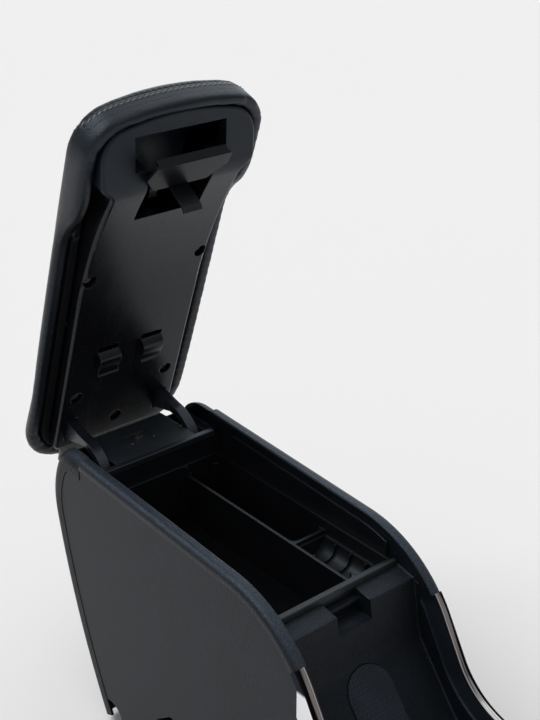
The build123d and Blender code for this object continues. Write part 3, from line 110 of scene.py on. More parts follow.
# Where the painted glints sit on the cover plate, out from its middle.
GLINT_X = (12 * MM, 43.8 * MM)
CHROME_INNER_X = 71.2 * MM
CHROME_LINE_X = (71.6 * MM, 72.6 * MM)
CHROME_DARK_X = 76.0 * MM

# The spacing of the rubber mat's diamonds and the rounding of moulded edges.
MAT_PITCH = 2.6 * MM
MOULDED_EDGE = 0.8 * MM

# The cool tint of the highlights, the same on every finish.
COOL = (0.80, 0.905, 1.0, 1)

# The camera, fitted to the photograph.
CAMERA_PLACE = (-0.600, -0.7207, 0.8748)
CAMERA_DOWN = math.radians(25.9)
CAMERA_AZIMUTH = math.radians(40.095)
CAMERA_LENS = 65.59
CAMERA_SENSOR = 36

# The light from the room and the two tones of the floor.
ROOM_LIGHT = (0.315, 0.33, 0.35, 1)
FLOOR_TONES = ((0.946, 0.904, 0.876, 1), (0.956, 0.914, 0.886, 1))

# Each lamp's name, direction of light, strength, spread in degrees and colour.
LAMPS = (
    ("back_window", (0.38, -0.36, -0.85), 1.15, 38, (0.90, 0.955, 1.0)),
    ("far_wall", (-0.60, -0.66, -0.45), 0.62, 56, (0.86, 0.94, 1.0)),
    ("overhead", (0.05, 0.05, -1.0), 0.66, 90, (1.0, 0.985, 0.96)),
    ("left_fill", (0.80, 0.25, -0.55), 0.22, 70, (1.0, 1.0, 1.0)),
)


def tone(red, green, blue):
    """A display colour of 0 to 255 as the linear colour that a shader takes."""
    linear = []
    for part in (red, green, blue):
        share = part / 255
        linear.append(share / 12.92 if share <= 0.04045 else ((share + 0.055) / 1.055) ** 2.4)
    return (*linear, 1)


def eased(value, low, high):
    """0 at low, 1 at high and a smooth rise between them."""
    share = min(1.0, max(0.0, (value - low) / (high - low)))
    return share * share * (3 - 2 * share)


def lid_to_frame():
    """The matrix that takes the lid's own closed coordinates to its open place in the frame."""
    return Matrix.Translation(HINGE) @ Matrix.Rotation(-LID_OPEN, 4, "X")


class Value:
    """A shader socket that can stand in a sum."""

    def __init__(self, finish, socket):
        self.finish = finish
        self.socket = socket

    def maths(self, operation, first, second=0.0):
        return self.finish.node("ShaderNodeMath", {"operation": operation}, {0: first, 1: second})

    def __add__(self, other):
        return self.maths("ADD", self, other)

    def __radd__(self, other):
        return self.maths("ADD", other, self)

    def __sub__(self, other):
        return self.maths("SUBTRACT", self, other)

    def __rsub__(self, other):
        return self.maths("SUBTRACT", other, self)

    def __mul__(self, other):
        return self.maths("MULTIPLY", self, other)

    def __rmul__(self, other):
        return self.maths("MULTIPLY", other, self)

    def __truediv__(self, other):
        return self.maths("DIVIDE", self, other)

    def __abs__(self):
        return self.maths("ABSOLUTE", self)

    def most(self, other):
        return self.maths("MAXIMUM", self, other)

    def wave(self):
        return self.maths("SINE", self)

    def saw(self):
        return self.maths("FRACT", self)


class Finish:
    """One material, with the kinds of detail that this object's surfaces share."""

    def __init__(self, name, constants):
        self.material = bpy.data.materials.new(name)
        self.material.use_nodes = True
        self.tree = self.material.node_tree
        self.shader = self.tree.nodes["Principled BSDF"]
        self.shader.inputs["Specular Tint"].default_value = COOL
        for socket, number in constants.items():
            self.shader.inputs[socket].default_value = number
        self.place = self.node("ShaderNodeTexCoord", out="Object")

    def node(self, kind, settings=None, sockets=None, out=0):
        made = self.tree.nodes.new(kind)
        for name, setting in (settings or {}).items():
            setattr(made, name, setting)
        for name, value in (sockets or {}).items():
            if isinstance(value, Value):
                self.tree.links.new(value.socket, made.inputs[name])
            else:
                made.inputs[name].default_value = value
        return Value(self, made.outputs[out])

    def set(self, **links):
        for name, value in links.items():
            self.tree.links.new(value.socket, self.shader.inputs[name.replace("_", " ")])
        return self.material

    def dull_where(self, share, colour):
        """Lets a surface fall to a dull dark one by the share."""
        dull = self.node("ShaderNodeBsdfDiffuse", sockets={"Color": colour}, out="BSDF")
        first = Value(self, self.shader.outputs["BSDF"])
        both = self.node("ShaderNodeMixShader", sockets={0: share, 1: first, 2: dull}, out="Shader")
        end = self.tree.nodes["Material Output"]
        self.tree.links.new(both.socket, end.inputs["Surface"])
        return self.material

    def joined(self, x, y, z):
        return self.node("ShaderNodeCombineXYZ", sockets={0: x, 1: y, 2: z})

    def turned(self, turn=(0, 0, 0), move=(0, 0, 0), scale=(1, 1, 1)):
        sockets = {"Vector": self.place, "Rotation": turn, "Location": move, "Scale": scale}
        return self.node("ShaderNodeMapping", sockets=sockets)

    def axes(self, place):
        made = self.tree.nodes.new("ShaderNodeSeparateXYZ")
        self.tree.links.new(place.socket, made.inputs[0])
        return [Value(self, made.outputs[axis]) for axis in range(3)]

    def noise(self, size, detail=2.0, rough=0.5, place=None):
        sockets = {"Vector": place or self.place, "Scale": 1 / size, "Detail": detail, "Roughness": rough}
        return self.node("ShaderNodeTexNoise", sockets=sockets)

    def cells(self, size, feature="F1", smooth=0.6):
        sockets = {"Vector": self.place, "Scale": 1 / size}
        if feature == "SMOOTH_F1":
            sockets["Smoothness"] = smooth
        return self.node("ShaderNodeTexVoronoi", {"feature": feature}, sockets, out="Distance")

    def band(self, value, low, high):
        """0 below low and 1 above high, or the other way round."""
        sockets = {"Value": value, 1: low, 2: high}
        return self.node("ShaderNodeMapRange", {"interpolation_type": "SMOOTHSTEP"}, sockets)

    def inside(self, value, low, high, soft):
        return self.band(value, low - soft, low + soft) * self.band(value, high + soft, high - soft)

    def mix(self, share, first, second):
        sockets = {0: share, 6: first, 7: second}
        return self.node("ShaderNodeMix", {"data_type": "RGBA"}, sockets, out=2)

    def soft_edges(self, radius):
        return self.node("ShaderNodeBevel", {"samples": 6}, {"Radius": radius})

    def facing(self):
        return self.node("ShaderNodeNewGeometry", out="Normal")

    def edge_share(self, soft):
        """1 along the edges, where a rounded normal leaves the face's own."""
        settings = {"operation": "DOT_PRODUCT"}
        along = self.node("ShaderNodeVectorMath", settings, {0: soft, 1: self.facing()}, out="Value")
        return self.band(1 - along, 0.02, 0.25)

    def bump(self, height, depth, under=None):
        sockets = {"Height": height, "Distance": depth}
        if under is not None:
            sockets["Normal"] = under
        return self.node("ShaderNodeBump", sockets=sockets)

    def dust(self, spacing=14 * MM, size=0.035, share=0.45):
        """Small scattered specks."""
        spot = self.band(self.cells(spacing), size, size * 0.5)
        return spot * self.band(self.noise(spacing * 2.3, 0), 0.50, 0.62) * share

    def lid_axes(self):
        """The lid's own x, y and z."""
        back = Matrix.Rotation(LID_OPEN, 3, "X") @ -HINGE
        return self.axes(self.turned((LID_OPEN, 0, 0), back))


def moulded(name, base, light, grain, depth, rough, speck=0.35, gloss=0.5, dull=None, painted_light=None):
    """A moulded plastic with a fine grain, a painted highlight along its edges, and a painted dull shade
    and a paler painted light where asked.
    """
    made = Finish(name, {"Specular IOR Level": gloss})
    soft = made.soft_edges(MOULDED_EDGE)
    edge_highlight = made.edge_share(soft)
    pebbles = made.cells(grain, "SMOOTH_F1")
    fine = made.noise(grain * 0.8, 2.0, 0.6)
    cloud = made.noise(38 * MM, 3.0, 0.55)
    colour = made.mix(made.band(cloud, 0.3, 0.75), base, light)
    mottle = made.band(made.noise(grain * 1.7, 3.0, 0.7), 0.40, 0.62)
    colour = made.mix(mottle * 0.42 + pebbles * 0.3, colour, tone(6, 6, 7))
    # Painted highlight along the edges.
    colour = made.mix(edge_highlight * 0.16, colour, tone(84, 88, 96))
    # Painted light: the upward faces drawn paler, as if lit from above.
    if painted_light is not None:
        colour = made.mix(painted_light(made) * (1 - mottle * 0.35), colour, tone(56, 62, 71))
    colour = made.mix(made.dust(share=speck), colour, tone(150, 148, 142))
    roughness = rough + 0.10 * (cloud - 0.5) + 0.12 * (fine - 0.5) - 0.10 * edge_highlight
    height = pebbles * -0.7 + fine * 0.5
    made.set(Base_Color=colour, Roughness=roughness, Normal=made.bump(height, depth, soft))
    if dull is not None:
        # Painted shade where asked: a dull dark shader mixed in.
        made.dull_where(dull(made), tone(10, 11, 13))
    return made.material


def painted_top_light(made):
    """Painted light on the upward faces, stronger on the rims than between them."""
    x = made.axes(made.place)[0]
    upward = made.axes(made.facing())[2]
    on_rim = made.band(abs(x), RIM_INNER_X - 1 * MM, RIM_INNER_X + 1 * MM)
    return made.band(upward, 0.30, 0.90) * (0.12 + 0.75 * on_rim)


def front_well_shade(made):
    """Painted shade over the front wall and the well under it, between the rims."""
    x, y = made.axes(made.place)[:2]
    between = made.band(abs(x), RIM_INNER_X + 2 * MM, RIM_INNER_X)
    return between * made.band(y, FRONT_WALL_Y, FRONT_WALL_Y - 3 * MM) * 0.35


def leather_finish():
    """Dark blue-grey leather with a fine pebble, soft wrinkles, a pucker along its seam and painted shade
    in its groove.
    """
    made = Finish("lid_leather", {"Specular IOR Level": 0.34})
    pebble = made.cells(1.15 * MM, "SMOOTH_F1", smooth=0.35)
    fine = made.cells(0.55 * MM, "SMOOTH_F1", smooth=0.5)
    wrinkle = made.noise(9 * MM, 4.0, 0.6)
    cloud = made.noise(70 * MM, 2.0, 0.5)
    run = made.node("ShaderNodeAttribute", {"attribute_name": "seam_run"}, out="Fac")
    across = made.node("ShaderNodeAttribute", {"attribute_name": "seam_across"}, out="Fac")
    pucker = (run * (2 * math.pi / STITCH_PITCH)).wave() * 0.5 + 0.5
    beside = made.inside(across, -5.5 * MM, 3.0 * MM, 2.0 * MM)
    groove = made.inside(across, -0.25 * MM, 0.25 * MM, 0.45 * MM)
    colour = made.mix(made.band(cloud, 0.3, 0.7), tone(15, 17, 21), tone(20, 24, 30))
    colour = made.mix(pebble * 0.4, colour, tone(9, 10, 12))
    # Painted shade in the seam's groove.
    colour = made.mix(groove * 0.85, colour, tone(5, 5, 6))
    colour = made.mix(made.dust(24 * MM, 0.022, 0.3), colour, tone(140, 138, 130))
    roughness = 0.33 + 0.12 * (wrinkle - 0.5) + 0.10 * (cloud - 0.5) + 0.06 * pebble
    grain = made.bump(pebble * -0.7 + fine * -0.25 + wrinkle * 0.8, 0.22 * MM)
    sewn = made.bump(beside * pucker * 0.5 - groove * 1.6, 0.7 * MM, grain)
    return made.set(Base_Color=colour, Roughness=roughness, Normal=sewn)


def inner_panel_finish():
    """Satin black moulding: fine-grained on the boss, painted dull shade in the recess, painted light on
    its grey rear end.
    """
    made = Finish("inner_panel_satin", {"Specular IOR Level": 0.31})
    soft = made.soft_edges(1.0 * MM)
    edge_highlight = made.edge_share(soft)
    x, y, z = made.lid_axes()
    boss = made.band(y, BOSS_START_Y, BOSS_FULL_Y)
    recess = made.band(abs(x), RECESS_HALF_W + FINISH_EDGE, RECESS_HALF_W - FINISH_EDGE)
    recess = recess * made.inside(y, RECESS_FRONT_Y, RECESS_BACK_Y, FINISH_EDGE)
    recess = recess * made.band(z, RECESS_LOW_Z, RECESS_HIGH_Z)
    rear = made.inside(y, *PANEL_END_Y, FINISH_EDGE) * made.band(z, 38 * MM, 37 * MM)
    pebbles = made.cells(0.85 * MM, "SMOOTH_F1")
    peel = made.noise(3.5 * MM, 1.0, 0.4)
    cloud = made.noise(55 * MM, 3.0, 0.55)
    smear = made.noise(24 * MM, 4.0, 0.6, made.turned(scale=(1, 0.35, 0.35)))
    colour = made.mix(made.band(cloud, 0.3, 0.7), tone(6, 6, 8), tone(9, 9, 12))
    colour = made.mix(boss * 0.8, colour, tone(15, 19, 27))
    # Painted shade: the recess drawn near black.
    colour = made.mix(recess, colour, tone(5, 5, 6))
    # Painted light: the panel's rear end face drawn light grey.
    colour = made.mix(rear * 0.9, colour, tone(70, 68, 66))
    # Painted highlight along the edges.
    colour = made.mix(edge_highlight * 0.18, colour, tone(84, 88, 96))
    colour = made.mix(made.dust(11 * MM, 0.04, 0.5), colour, tone(150, 146, 138))
    rough = 0.27 + 0.14 * (smear - 0.5) + 0.12 * boss - 0.12 * recess
    grainy = boss * (1 - recess)
    height = peel * 0.08 + pebbles * grainy * -2.0
    made.set(Base_Color=colour, Roughness=rough, Normal=made.bump(height, 0.12 * MM, soft))
    # Painted shade in the recess: a dull near-black shader mixed in.
    return made.dull_where(recess * 0.95, tone(3, 3, 5))


def flange_finish():
    """Dull black core rim with white flecks on its middle stretch."""
    made = Finish("core_rim", {"Specular IOR Level": 0.12})
    y = made.lid_axes()[1]
    soft = made.soft_edges(0.6 * MM)
    fleck = made.noise(5 * MM, 4.0, 0.7, made.turned((LID_OPEN, 0, 0), scale=(1, 0.22, 1)))
    where = made.noise(60 * MM, 1.0, 0.5)
    stretch = made.inside(y, -250 * MM, -90 * MM, 20 * MM)
    white_marks = made.band(fleck, 0.60, 0.68) * made.band(where, 0.46, 0.56) * stretch
    fine = made.noise(0.8 * MM, 2.0, 0.6)
    colour = made.mix(fine, tone(7, 7, 8), tone(11, 11, 12))
    colour = made.mix(white_marks * 0.8, colour, tone(190, 190, 186))
    return made.set(Base_Color=colour, Roughness=0.5 + 0.2 * fine, Normal=made.bump(fine, 0.05 * MM, soft))


def felt_finish():
    """Short dark pile with lint on it."""
    made = Finish("tray_felt", {"Specular IOR Level": 0.05})
    pile = made.noise(0.7 * MM, 3.0, 0.7)
    cloud = made.noise(30 * MM, 3.0, 0.6)
    colour = made.mix(made.band(pile, 0.35, 0.75), tone(6, 6, 7), tone(19, 19, 21))
    colour = made.mix(made.band(cloud, 0.45, 0.8) * 0.4, colour, tone(21, 22, 25))
    colour = made.mix(made.dust(8 * MM, 0.06, 0.6), colour, tone(120, 118, 114))
    return made.set(Base_Color=colour, Roughness=0.9 + pile * 0.1, Normal=made.bump(pile, 0.5 * MM))


def rubber_finish():
    """Matt rubber pressed with a field of small diamonds."""
    made = Finish("mat_rubber", {"Specular IOR Level": 0.35})
    soft = made.soft_edges(0.9 * MM)
    x, y, z = made.axes(made.place)
    run = z * 0.9 - y * 0.6
    first = abs(((x + run) / MAT_PITCH).saw() - 0.5)
    second = abs(((x - run) / MAT_PITCH).saw() - 0.5)
    diamond = made.band(first.most(second), 0.30, 0.48)
    cloud = made.noise(22 * MM, 3.0, 0.6)
    fine = made.noise(0.6 * MM, 2.0, 0.6)
    colour = made.mix(made.band(cloud, 0.3, 0.7), tone(28, 33, 40), tone(38, 44, 52))
    colour = made.mix(diamond * 0.8, colour, tone(8, 8, 9))
    colour = made.mix(made.dust(12 * MM, 0.04, 0.4), colour, tone(140, 138, 132))
    rough = 0.58 + 0.12 * (cloud - 0.5) + 0.08 * diamond
    height = fine * 0.12 - diamond * 0.8
    return made.set(Base_Color=colour, Roughness=rough, Normal=made.bump(height, 0.5 * MM, soft))


def chrome_finish():
    """Plated trim, black on its inner half, with painted streaks and bands that stand for reflections."""
    made = Finish("chrome_plate", {"Specular IOR Level": 0.4})
    soft = made.soft_edges(0.6 * MM)
    x, y, z = made.axes(made.place)
    wide = abs(x)
    run = y * 0.64 + z * 0.77
    streak = made.noise(1.5 * MM, 1.0, 0.5, made.joined(wide, run * 0.02, run * 0.012))
    ripple = made.noise(18 * MM, 2.0, 0.5)
    side = made.band(abs(made.axes(made.facing())[0]), 0.86, 0.95)
    plated = made.band(wide, CHROME_INNER_X, CHROME_INNER_X + 0.5 * MM)
    low = made.band(z + 0.012 * ripple, 178 * MM, 164 * MM)
    strip = nodes["left_chrome"]
    top = max((strip.matrix_world @ point.co).z for point in strip.data.vertices)
    bright = side * made.band(z, top - 16 * MM, top - 20 * MM)
    colour = made.mix(made.band(streak, 0.42, 0.62), tone(98, 84, 80), tone(178, 164, 158))
    colour = made.mix(made.band(streak, 0.44, 0.39), colour, tone(26, 22, 24))
    colour = made.mix(low * made.band(streak, 0.42, 0.50), colour, tone(246, 245, 243))
    colour = made.mix(made.inside(wide, *CHROME_LINE_X, 0.2 * MM), colour, tone(226, 220, 218))
    outer = made.band(wide, CHROME_DARK_X, CHROME_DARK_X + 0.6 * MM)
    colour = made.mix(outer, colour, tone(22, 20, 22))
    colour = made.mix(bright, colour, tone(250, 250, 250))
    colour = made.mix(plated, tone(9, 9, 11), colour)
    rough = 0.10 + 0.05 * streak + 0.2 * (1 - plated)
    normal = made.bump(ripple, 0.2 * MM, soft)
    return made.set(Base_Color=colour, Metallic=plated, Roughness=rough, Normal=normal)


def plate_finish():
    """Grainy dark teal-grey cover plate with painted glints where its groove meets the dish and the sides.
    """
    made = Finish("plate_grain", {"Specular IOR Level": 0.5})
    soft = made.soft_edges(0.6 * MM)
    x, y = made.axes(made.place)[:2]
    pebbles = made.cells(0.8 * MM, "SMOOTH_F1")
    cloud = made.noise(30 * MM, 3.0, 0.55)
    level = abs(y - GROOVE_Y)
    by_dish, by_side = (made.band(abs(abs(x) - end).most(level), 0.9 * MM, 0.5 * MM) for end in GLINT_X)
    glint = by_dish.most(by_side)
    colour = made.mix(made.band(cloud, 0.3, 0.7), tone(32, 37, 41), tone(40, 45, 50))
    colour = made.mix(pebbles * 0.4, colour, tone(8, 9, 10))
    # Painted glints: small bright spots at the groove's ends.
    colour = made.mix(glint, colour, tone(196, 200, 200))
    rough = 0.46 + 0.1 * (cloud - 0.5)
    return made.set(Base_Color=colour, Roughness=rough, Normal=made.bump(pebbles * -1.0, 0.10 * MM, soft))


def steel_finish(name, base, light, rough, size):
    """Bare or plated steel with handling marks."""
    made = Finish(name, {})
    soft = made.soft_edges(0.4 * MM)
    mark = made.noise(size, 4.0, 0.65)
    fine = made.noise(size * 0.15, 2.0, 0.6)
    colour = made.mix(made.band(mark, 0.35, 0.7), base, light)
    metal = 0.85 + 0.1 * mark
    roughness = rough + 0.2 * (mark - 0.5) + 0.08 * (fine - 0.5)
    normal = made.bump(fine, 0.05 * MM, soft)
    return made.set(Base_Color=colour, Metallic=metal, Roughness=roughness, Normal=normal)


def painted_finish(name, base, light, rough, edge, gloss=0.55, dull=0.0):
    """Satin coat over a pressed or moulded piece, with a painted highlight along its edges."""
    made = Finish(name, {"Specular IOR Level": gloss})
    soft = made.soft_edges(edge)
    edge_highlight = made.edge_share(soft)
    peel = made.noise(2.2 * MM, 2.0, 0.5)
    cloud = made.noise(26 * MM, 3.0, 0.55)
    colour = made.mix(made.band(cloud, 0.3, 0.7), base, light)
    # Painted highlight along the edges.
    colour = made.mix(edge_highlight * 0.2, colour, tone(96, 98, 106))
    colour = made.mix(made.dust(9 * MM, 0.05, 0.45), colour, tone(150, 146, 138))
    roughness = rough + 0.1 * (cloud - 0.5) - 0.06 * edge_highlight
    made.set(Base_Color=colour, Roughness=roughness, Normal=made.bump(peel, 0.06 * MM, soft))
    if dull:
        made.dull_where(dull, tone(10, 10, 12))
    return made.material


def thread_finish():
    """Pale sewing thread."""
    made = Finish("seam_thread", {"Specular IOR Level": 0.3, "Sheen Weight": 0.2})
    fibre = made.noise(0.5 * MM, 2.0, 0.6)
    colour = made.mix(fibre, tone(120, 117, 113), tone(165, 161, 156))
    return made.set(Base_Color=colour, Roughness=0.6 + 0.2 * fibre, Normal=made.bump(fibre, 0.1 * MM))


FINISHES = {
    "rim_grain": moulded("rim_grain", tone(14, 18, 23), tone(20, 25, 31), 1.5 * MM, 0.50 * MM, 0.36,
                         gloss=0.28, dull=front_well_shade, painted_light=painted_top_light),
    "cover_grain": moulded("cover_grain", tone(10, 12, 15), tone(14, 17, 21), 1.5 * MM, 0.50 * MM, 0.40,
                           gloss=0.16, painted_light=painted_top_light),
    "panel_grain": moulded("panel_grain", tone(36, 37, 41), tone(45, 46, 50), 1.2 * MM, 0.36 * MM, 0.46,
                           speck=0.15, gloss=0.2),
    "liner_satin": moulded("liner_satin", tone(14, 14, 17), tone(19, 19, 22), 0.6 * MM, 0.04 * MM, 0.40),
    "plate_grain": plate_finish(),
    "strip_satin": moulded("strip_satin", tone(26, 25, 24), tone(32, 31, 30), 0.6 * MM, 0.04 * MM, 0.42),
    "rail_grain": moulded("rail_grain", tone(22, 26, 32), tone(30, 35, 42), 0.9 * MM, 0.16 * MM, 0.40),
    "bar_satin": moulded("bar_satin", tone(32, 33, 37), tone(40, 41, 46), 0.5 * MM, 0.03 * MM, 0.34),
    "panel_satin": inner_panel_finish(),
    "flange": flange_finish(),
    "felt": felt_finish(),
    "rubber": rubber_finish(),
    "chrome": chrome_finish(),
    "screw": steel_finish("screw_steel", tone(96, 88, 82), tone(150, 140, 130), 0.34, 4 * MM),
    "bracket": steel_finish("bracket_zinc", tone(120, 120, 118), tone(160, 158, 150), 0.4, 18 * MM),
    "spring": steel_finish("spring_wire", tone(90, 90, 90), tone(130, 128, 124), 0.35, 3 * MM),
    # Painted light: the rear strip drawn light grey.
    "strip_painted_light": moulded("strip_painted_light", tone(136, 131, 127), tone(154, 149, 144), 0.6 * MM, 0.04 * MM, 0.5),
    "arm": painted_finish("arm_black", tone(22, 24, 29), tone(30, 32, 38), 0.26, 1.1 * MM),
    "paddle": painted_finish("paddle_grey", tone(9, 9, 10), tone(13, 13, 14), 0.38, 0.8 * MM, 0.3, 0.4),
    "hook": painted_finish("hook_black", tone(8, 8, 10), tone(13, 13, 16), 0.32, 1.0 * MM),
    "leather": leather_finish(),
    "thread": thread_finish(),
}

NODE_FINISH = {
    "console_frame": "rim_grain", "rear_cover": "cover_grain", "cover_plate": "plate_grain",
    "left_panel": "panel_grain", "right_panel": "panel_grain",
    "bin_liner": "liner_satin", "storage_tray": "liner_satin", "lid_core": "flange",
    "tray_mats": "felt", "front_mat": "rubber", "front_strip": "strip_satin", "trim_bar": "bar_satin",
    "left_rail": "rail_grain", "right_rail": "rail_grain",
    "left_chrome": "chrome", "right_chrome": "chrome",
    "inner_panel": "panel_satin", "lid_pad": "leather",
    "plate_screw": "screw", "bracket_screws": "screw", "lid_screws": "screw", "arm_screws": "screw",
    "hinge_pin": "screw", "hinge_washers": "screw", "latch_pin": "screw",
    "left_bracket": "bracket", "right_bracket": "bracket",
    "front_floor_bracket": "bracket", "rear_floor_bracket": "bracket",
    "left_arm": "arm", "right_arm": "arm",
    "latch_paddle": "paddle", "latch_hook": "hook", "latch_spring": "spring",
}


def dress(piece, finish):
    """Gives a piece one finish all over."""
    piece.data.materials.clear()
    piece.data.materials.append(FINISHES[finish])


def dress_frame():
    for name, node in nodes.items():
        for slot in node.material_slots:
            slot.material = FINISHES[NODE_FINISH[name]]


def only(piece):
    """Selects one piece and nothing else."""
    bpy.ops.object.select_all(action="DESELECT")
    piece.select_set(True)
    bpy.context.view_layer.objects.active = piece


def cad_copy(node, name):
    """A welded copy of a node's mesh, as a new piece."""
    piece = bpy.data.objects.new(name, nodes[node].data.copy())
    bpy.context.scene.collection.objects.link(piece)
    only(piece)
    bpy.ops.object.mode_set(mode="EDIT")
    bpy.ops.mesh.select_all(action="SELECT")
    bpy.ops.mesh.remove_doubles(threshold=0.01 * MM)
    bpy.ops.object.mode_set(mode="OBJECT")
    return piece


def add_modifier(piece, kind, settings):
    modifier = piece.modifiers.new(kind.title(), kind)
    for name, setting in settings.items():
        setattr(modifier, name, setting)
    return modifier


def apply_modifier(piece, kind, settings):
    modifier = add_modifier(piece, kind, settings)
    only(piece)
    bpy.ops.object.modifier_apply(modifier=modifier.name)


def outline_of_lid(step):
    """Points, outward directions and run along the lid's rounded outline, in the lid's own x and y."""
    half = LID_HALF_W - LID_CORNER_R
    low = LID_FRONT_Y + LID_CORNER_R
    high = LID_BACK_Y - LID_CORNER_R
    corners = [((half, high), 0), ((-half, high), 90), ((-half, low), 180), ((half, low), 270)]
    ring = []
    for (x, y), start in corners:
        for turn in range(0, 91, 3):
            angle = math.radians(start + turn)
            outward = Vector((math.cos(angle), math.sin(angle), 0))
            ring.append((Vector((x, y, 0)) + outward * LID_CORNER_R, outward))
    ring.append(ring[0])
    places = []
    run = 0.0
    wanted = 0.0
    for (start, start_out), (end, end_out) in zip(ring, ring[1:]):
        length = (end - start).length
        while length > 0 and wanted <= run + length:
            share = (wanted - run) / length
            places.append((start.lerp(end, share), start_out.lerp(end_out, share).normalized(), wanted))
            wanted += step
        run += length
    return places


def stitch_aim(outward):
    """Where the stitches are sought: height, inset from the outline and lift of the line of sight."""
    share = eased(outward.y, -0.80, -0.02)
    height = STITCH_FRONT_Z + (STITCH_SIDE_Z - STITCH_FRONT_Z) * share
    inset = STITCH_FRONT_INSET + (STITCH_SIDE_INSET - STITCH_FRONT_INSET) * share
    return height, inset, STITCH_SIDE_LIFT * share


def skin_of(piece):
    points = [point.co for point in piece.data.vertices]
    return BVHTree.FromPolygons(points, [face.vertices for face in piece.data.polygons])


def line_on_cover(cover, above, step):
    """Points on the cover along the stitch line moved up by above: place, normal, direction and run."""
    skin = skin_of(cover)
    placing = lid_to_frame()
    turning = placing.to_3x3()
    line = []
    for place, outward, run in outline_of_lid(step):
        height, inset, lift = stitch_aim(outward)
        up = Vector((0, 0, 1))
        sight = outward * math.cos(lift) + up * math.sin(lift)
        raised = up * math.cos(lift) - outward * math.sin(lift)
        aim = place - outward * inset + up * height + raised * above
        hit, normal = skin.ray_cast(placing @ (aim + sight * SIGHT_START), turning @ -sight)[:2]
        if hit is not None:
            along = turning @ Vector((-outward.y, outward.x, 0))
            line.append((hit, normal, along.normalized(), run))
    return line


def make_lid_cover():
    """The leather cover over its foam, swelled a little by its filling."""
    cover = cad_copy("lid_pad", "lid_cover")
    apply_modifier(cover, "REMESH", {"mode": "VOXEL", "voxel_size": COVER_VOXEL})
    apply_modifier(cover, "SMOOTH", {"factor": 0.5, "iterations": 6})
    settle(cover)
    swell(cover, pressure=3.0, most=SWELL_MOST)
    apply_modifier(cover, "SUBSURF", {"levels": 1, "render_levels": 1})
    sew_seam(cover)
    only(cover)
    bpy.ops.object.shade_smooth()
    dress(cover, "leather")
    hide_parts("lid_pad")
    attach(cover, "lid")
    return cover


def settle(cover):
    """Lets the foam sit lower towards the front end and rounds the rear corners off."""
    placing = lid_to_frame()
    back = placing.inverted()
    for point in cover.data.vertices:
        place = back @ point.co
        place.z -= FRONT_DROP * eased(place.y, -120 * MM, -380 * MM) * eased(place.z, 44 * MM, 64 * MM)
        side = 1 if place.x > 0 else -1
        high = eased(place.z, 50 * MM, 61 * MM)
        outer = eased(abs(place.x), 58 * MM, 80 * MM)
        place.x -= side * REAR_CORNER_PULL * outer * high * eased(place.y, -40 * MM, 22 * MM) ** 2
        point.co = placing @ place


def swell(piece, pressure, most):
    """Lets the filling press the cover out for a few steps, no point moving further than most."""
    start = [point.co.copy() for point in piece.data.vertices]
    to_lid = lid_to_frame().inverted()
    held = piece.vertex_groups.new(name="held")
    for point in piece.data.vertices:
        x, y, z = to_lid @ point.co
        if z < CORE_TOP_Z and abs(x) < CORE_HALF_W and CORE_FRONT_Y < y < CORE_BACK_Y:
            held.add([point.index], 1.0, "REPLACE")
    cloth = piece.modifiers.new("Filling", "CLOTH")
    cloth.settings.use_pressure = True
    cloth.settings.uniform_pressure_force = pressure
    cloth.settings.vertex_group_mass = "held"
    cloth.settings.effector_weights.gravity = 0
    cloth.settings.quality = 5
    cloth.point_cache.frame_start = 1
    cloth.point_cache.frame_end = SWELL_STEPS
    for step in range(1, SWELL_STEPS + 1):
        bpy.context.scene.frame_set(step)
    only(piece)
    bpy.ops.object.modifier_apply(modifier=cloth.name)
    bpy.context.scene.frame_set(1)
    for point, place in zip(piece.data.vertices, start):
        move = point.co - place
        if move.length > most:
            point.co = place + move.normalized() * most
    piece.vertex_groups.clear()


def sew_seam(cover):
    """Pulls the cover in along its seam, and notes each point's run along and distance across the seam."""
    seam = line_on_cover(cover, SEAM_ABOVE, SEAM_STEP)
    finder = KDTree(len(seam))
    for index, (place, normal, along, run) in enumerate(seam):
        finder.insert(place, index)
    finder.balance()
    runs = cover.data.attributes.new("seam_run", "FLOAT", "POINT")
    acrosses = cover.data.attributes.new("seam_across", "FLOAT", "POINT")
    for point in cover.data.vertices:
        place, normal, along, run = seam[finder.find(point.co)[1]]
        offset = point.co - place
        across = normal.cross(along).dot(offset)
        runs.data[point.index].value = run + along.dot(offset)
        acrosses.data[point.index].value = across if offset.length < SEAM_REACH else SEAM_REACH
        if offset.length < SEAM_PULL_REACH:
            point.co -= normal * SEAM_DEPTH * math.exp(-(across / SEAM_HALF_W) ** 2)


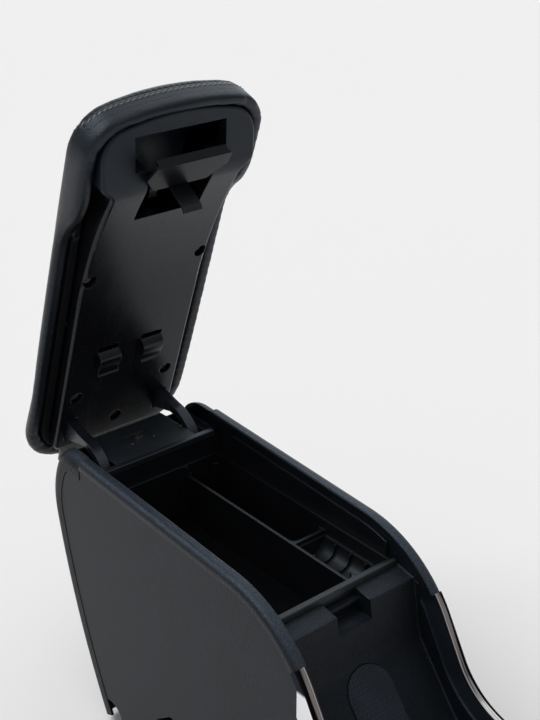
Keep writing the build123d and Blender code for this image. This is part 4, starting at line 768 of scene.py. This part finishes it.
def make_stitches(cover):
    """A row of slanted stitches beside the seam, sunk at both ends."""
    bpy.ops.object.select_all(action="DESELECT")
    bpy.ops.mesh.primitive_uv_sphere_add(segments=8, ring_count=6, radius=0.5)
    stitch = bpy.context.object
    stitch.scale = (STITCH_WIDTH, STITCH_WIDTH * 0.8, STITCH_LENGTH)
    bpy.ops.object.transform_apply(scale=True)
    for point in stitch.data.vertices:
        sunk = (abs(point.co.z) / (STITCH_LENGTH / 2)) ** 3
        point.co.y -= STITCH_SUNK * sunk
    bpy.ops.object.shade_smooth()
    copies = []
    for place, normal, along, run in line_on_cover(cover, 0, STITCH_PITCH):
        across = normal.cross(along).normalized()
        along = (along * math.cos(STITCH_SLANT) + across * math.sin(STITCH_SLANT)).normalized()
        across = normal.cross(along).normalized()
        copy = stitch.copy()
        copy.data = stitch.data.copy()
        turn = Matrix((across, normal, along)).transposed().to_4x4()
        copy.data.transform(Matrix.Translation(place + normal * STITCH_RAISED) @ turn)
        bpy.context.scene.collection.objects.link(copy)
        copies.append(copy)
    bpy.data.objects.remove(stitch)
    row = copies[0]
    bpy.ops.object.select_all(action="DESELECT")
    for copy in copies:
        copy.select_set(True)
    bpy.context.view_layer.objects.active = row
    bpy.ops.object.join()
    row.name = "lid_stitches"
    dress(row, "thread")
    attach(row, "lid")


def lid_block(low, high):
    """A rounded block between two corners in the lid's own millimetres."""
    bpy.ops.object.select_all(action="DESELECT")
    bpy.ops.mesh.primitive_cube_add(size=1)
    block = bpy.context.object
    block.scale = [(far - near) * MM for near, far in zip(low, high)]
    block.location = [(near + far) / 2 * MM for near, far in zip(low, high)]
    bpy.ops.object.transform_apply(location=True, scale=True)
    apply_modifier(block, "BEVEL", {"width": REAR_STRIP_EDGE, "segments": 3})
    block.data.transform(lid_to_frame())
    return block


def make_rear_strip():
    """The strip along the rear end of the inner panel, its grey a painted light."""
    strip = lid_block(*REAR_STRIP)
    strip.name = "lid_rear_strip"
    only(strip)
    bpy.ops.object.shade_smooth_by_angle()
    dress(strip, "strip_painted_light")
    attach(strip, "lid")


def add_camera():
    data = bpy.data.cameras.new("photo_camera")
    data.sensor_fit = "VERTICAL"
    data.sensor_height = CAMERA_SENSOR
    data.lens = CAMERA_LENS
    data.clip_end = 100
    camera = bpy.data.objects.new("photo_camera", data)
    camera.location = CAMERA_PLACE
    camera.rotation_euler = (math.pi / 2 - CAMERA_DOWN, 0, -CAMERA_AZIMUTH)
    bpy.context.scene.collection.objects.link(camera)
    bpy.context.scene.camera = camera


def add_lamp(name, towards, strength, spread, colour):
    data = bpy.data.lights.new(name, "SUN")
    data.energy = strength
    data.angle = math.radians(spread)
    data.color = colour
    lamp = bpy.data.objects.new(name, data)
    lamp.rotation_euler = (-Vector(towards)).to_track_quat("Z", "Y").to_euler()
    bpy.context.scene.collection.objects.link(lamp)


def add_studio():
    """A pale floor, an even pale room and four wide soft lamps."""
    scene = bpy.context.scene
    scene.view_settings.view_transform = "Standard"
    world = bpy.data.worlds.new("pale_room")
    world.use_nodes = True
    tree = world.node_tree
    room = tree.nodes["Background"]
    rays = tree.nodes.new("ShaderNodeLightPath")
    shade = tree.nodes.new("ShaderNodeMix")
    shade.data_type = "RGBA"
    shade.inputs[6].default_value = ROOM_LIGHT
    shade.inputs[7].default_value = tone(239, 239, 239)
    tree.links.new(rays.outputs["Is Camera Ray"], shade.inputs[0])
    tree.links.new(shade.outputs[2], room.inputs["Color"])
    scene.world = world
    for lamp in LAMPS:
        add_lamp(*lamp)
    bpy.ops.object.select_all(action="DESELECT")
    bpy.ops.mesh.primitive_plane_add(size=24)
    floor = bpy.context.object
    floor.name = "studio_floor"
    made = Finish("studio_floor", {"Specular IOR Level": 0.0, "Roughness": 1.0})
    cloud = made.noise(1.5, 2.0, 0.5)
    floor.data.materials.append(made.set(Base_Color=made.mix(cloud, *FLOOR_TONES)))


add_camera()
add_studio()
dress_frame()
lid_cover = make_lid_cover()
make_stitches(lid_cover)
make_rear_strip()
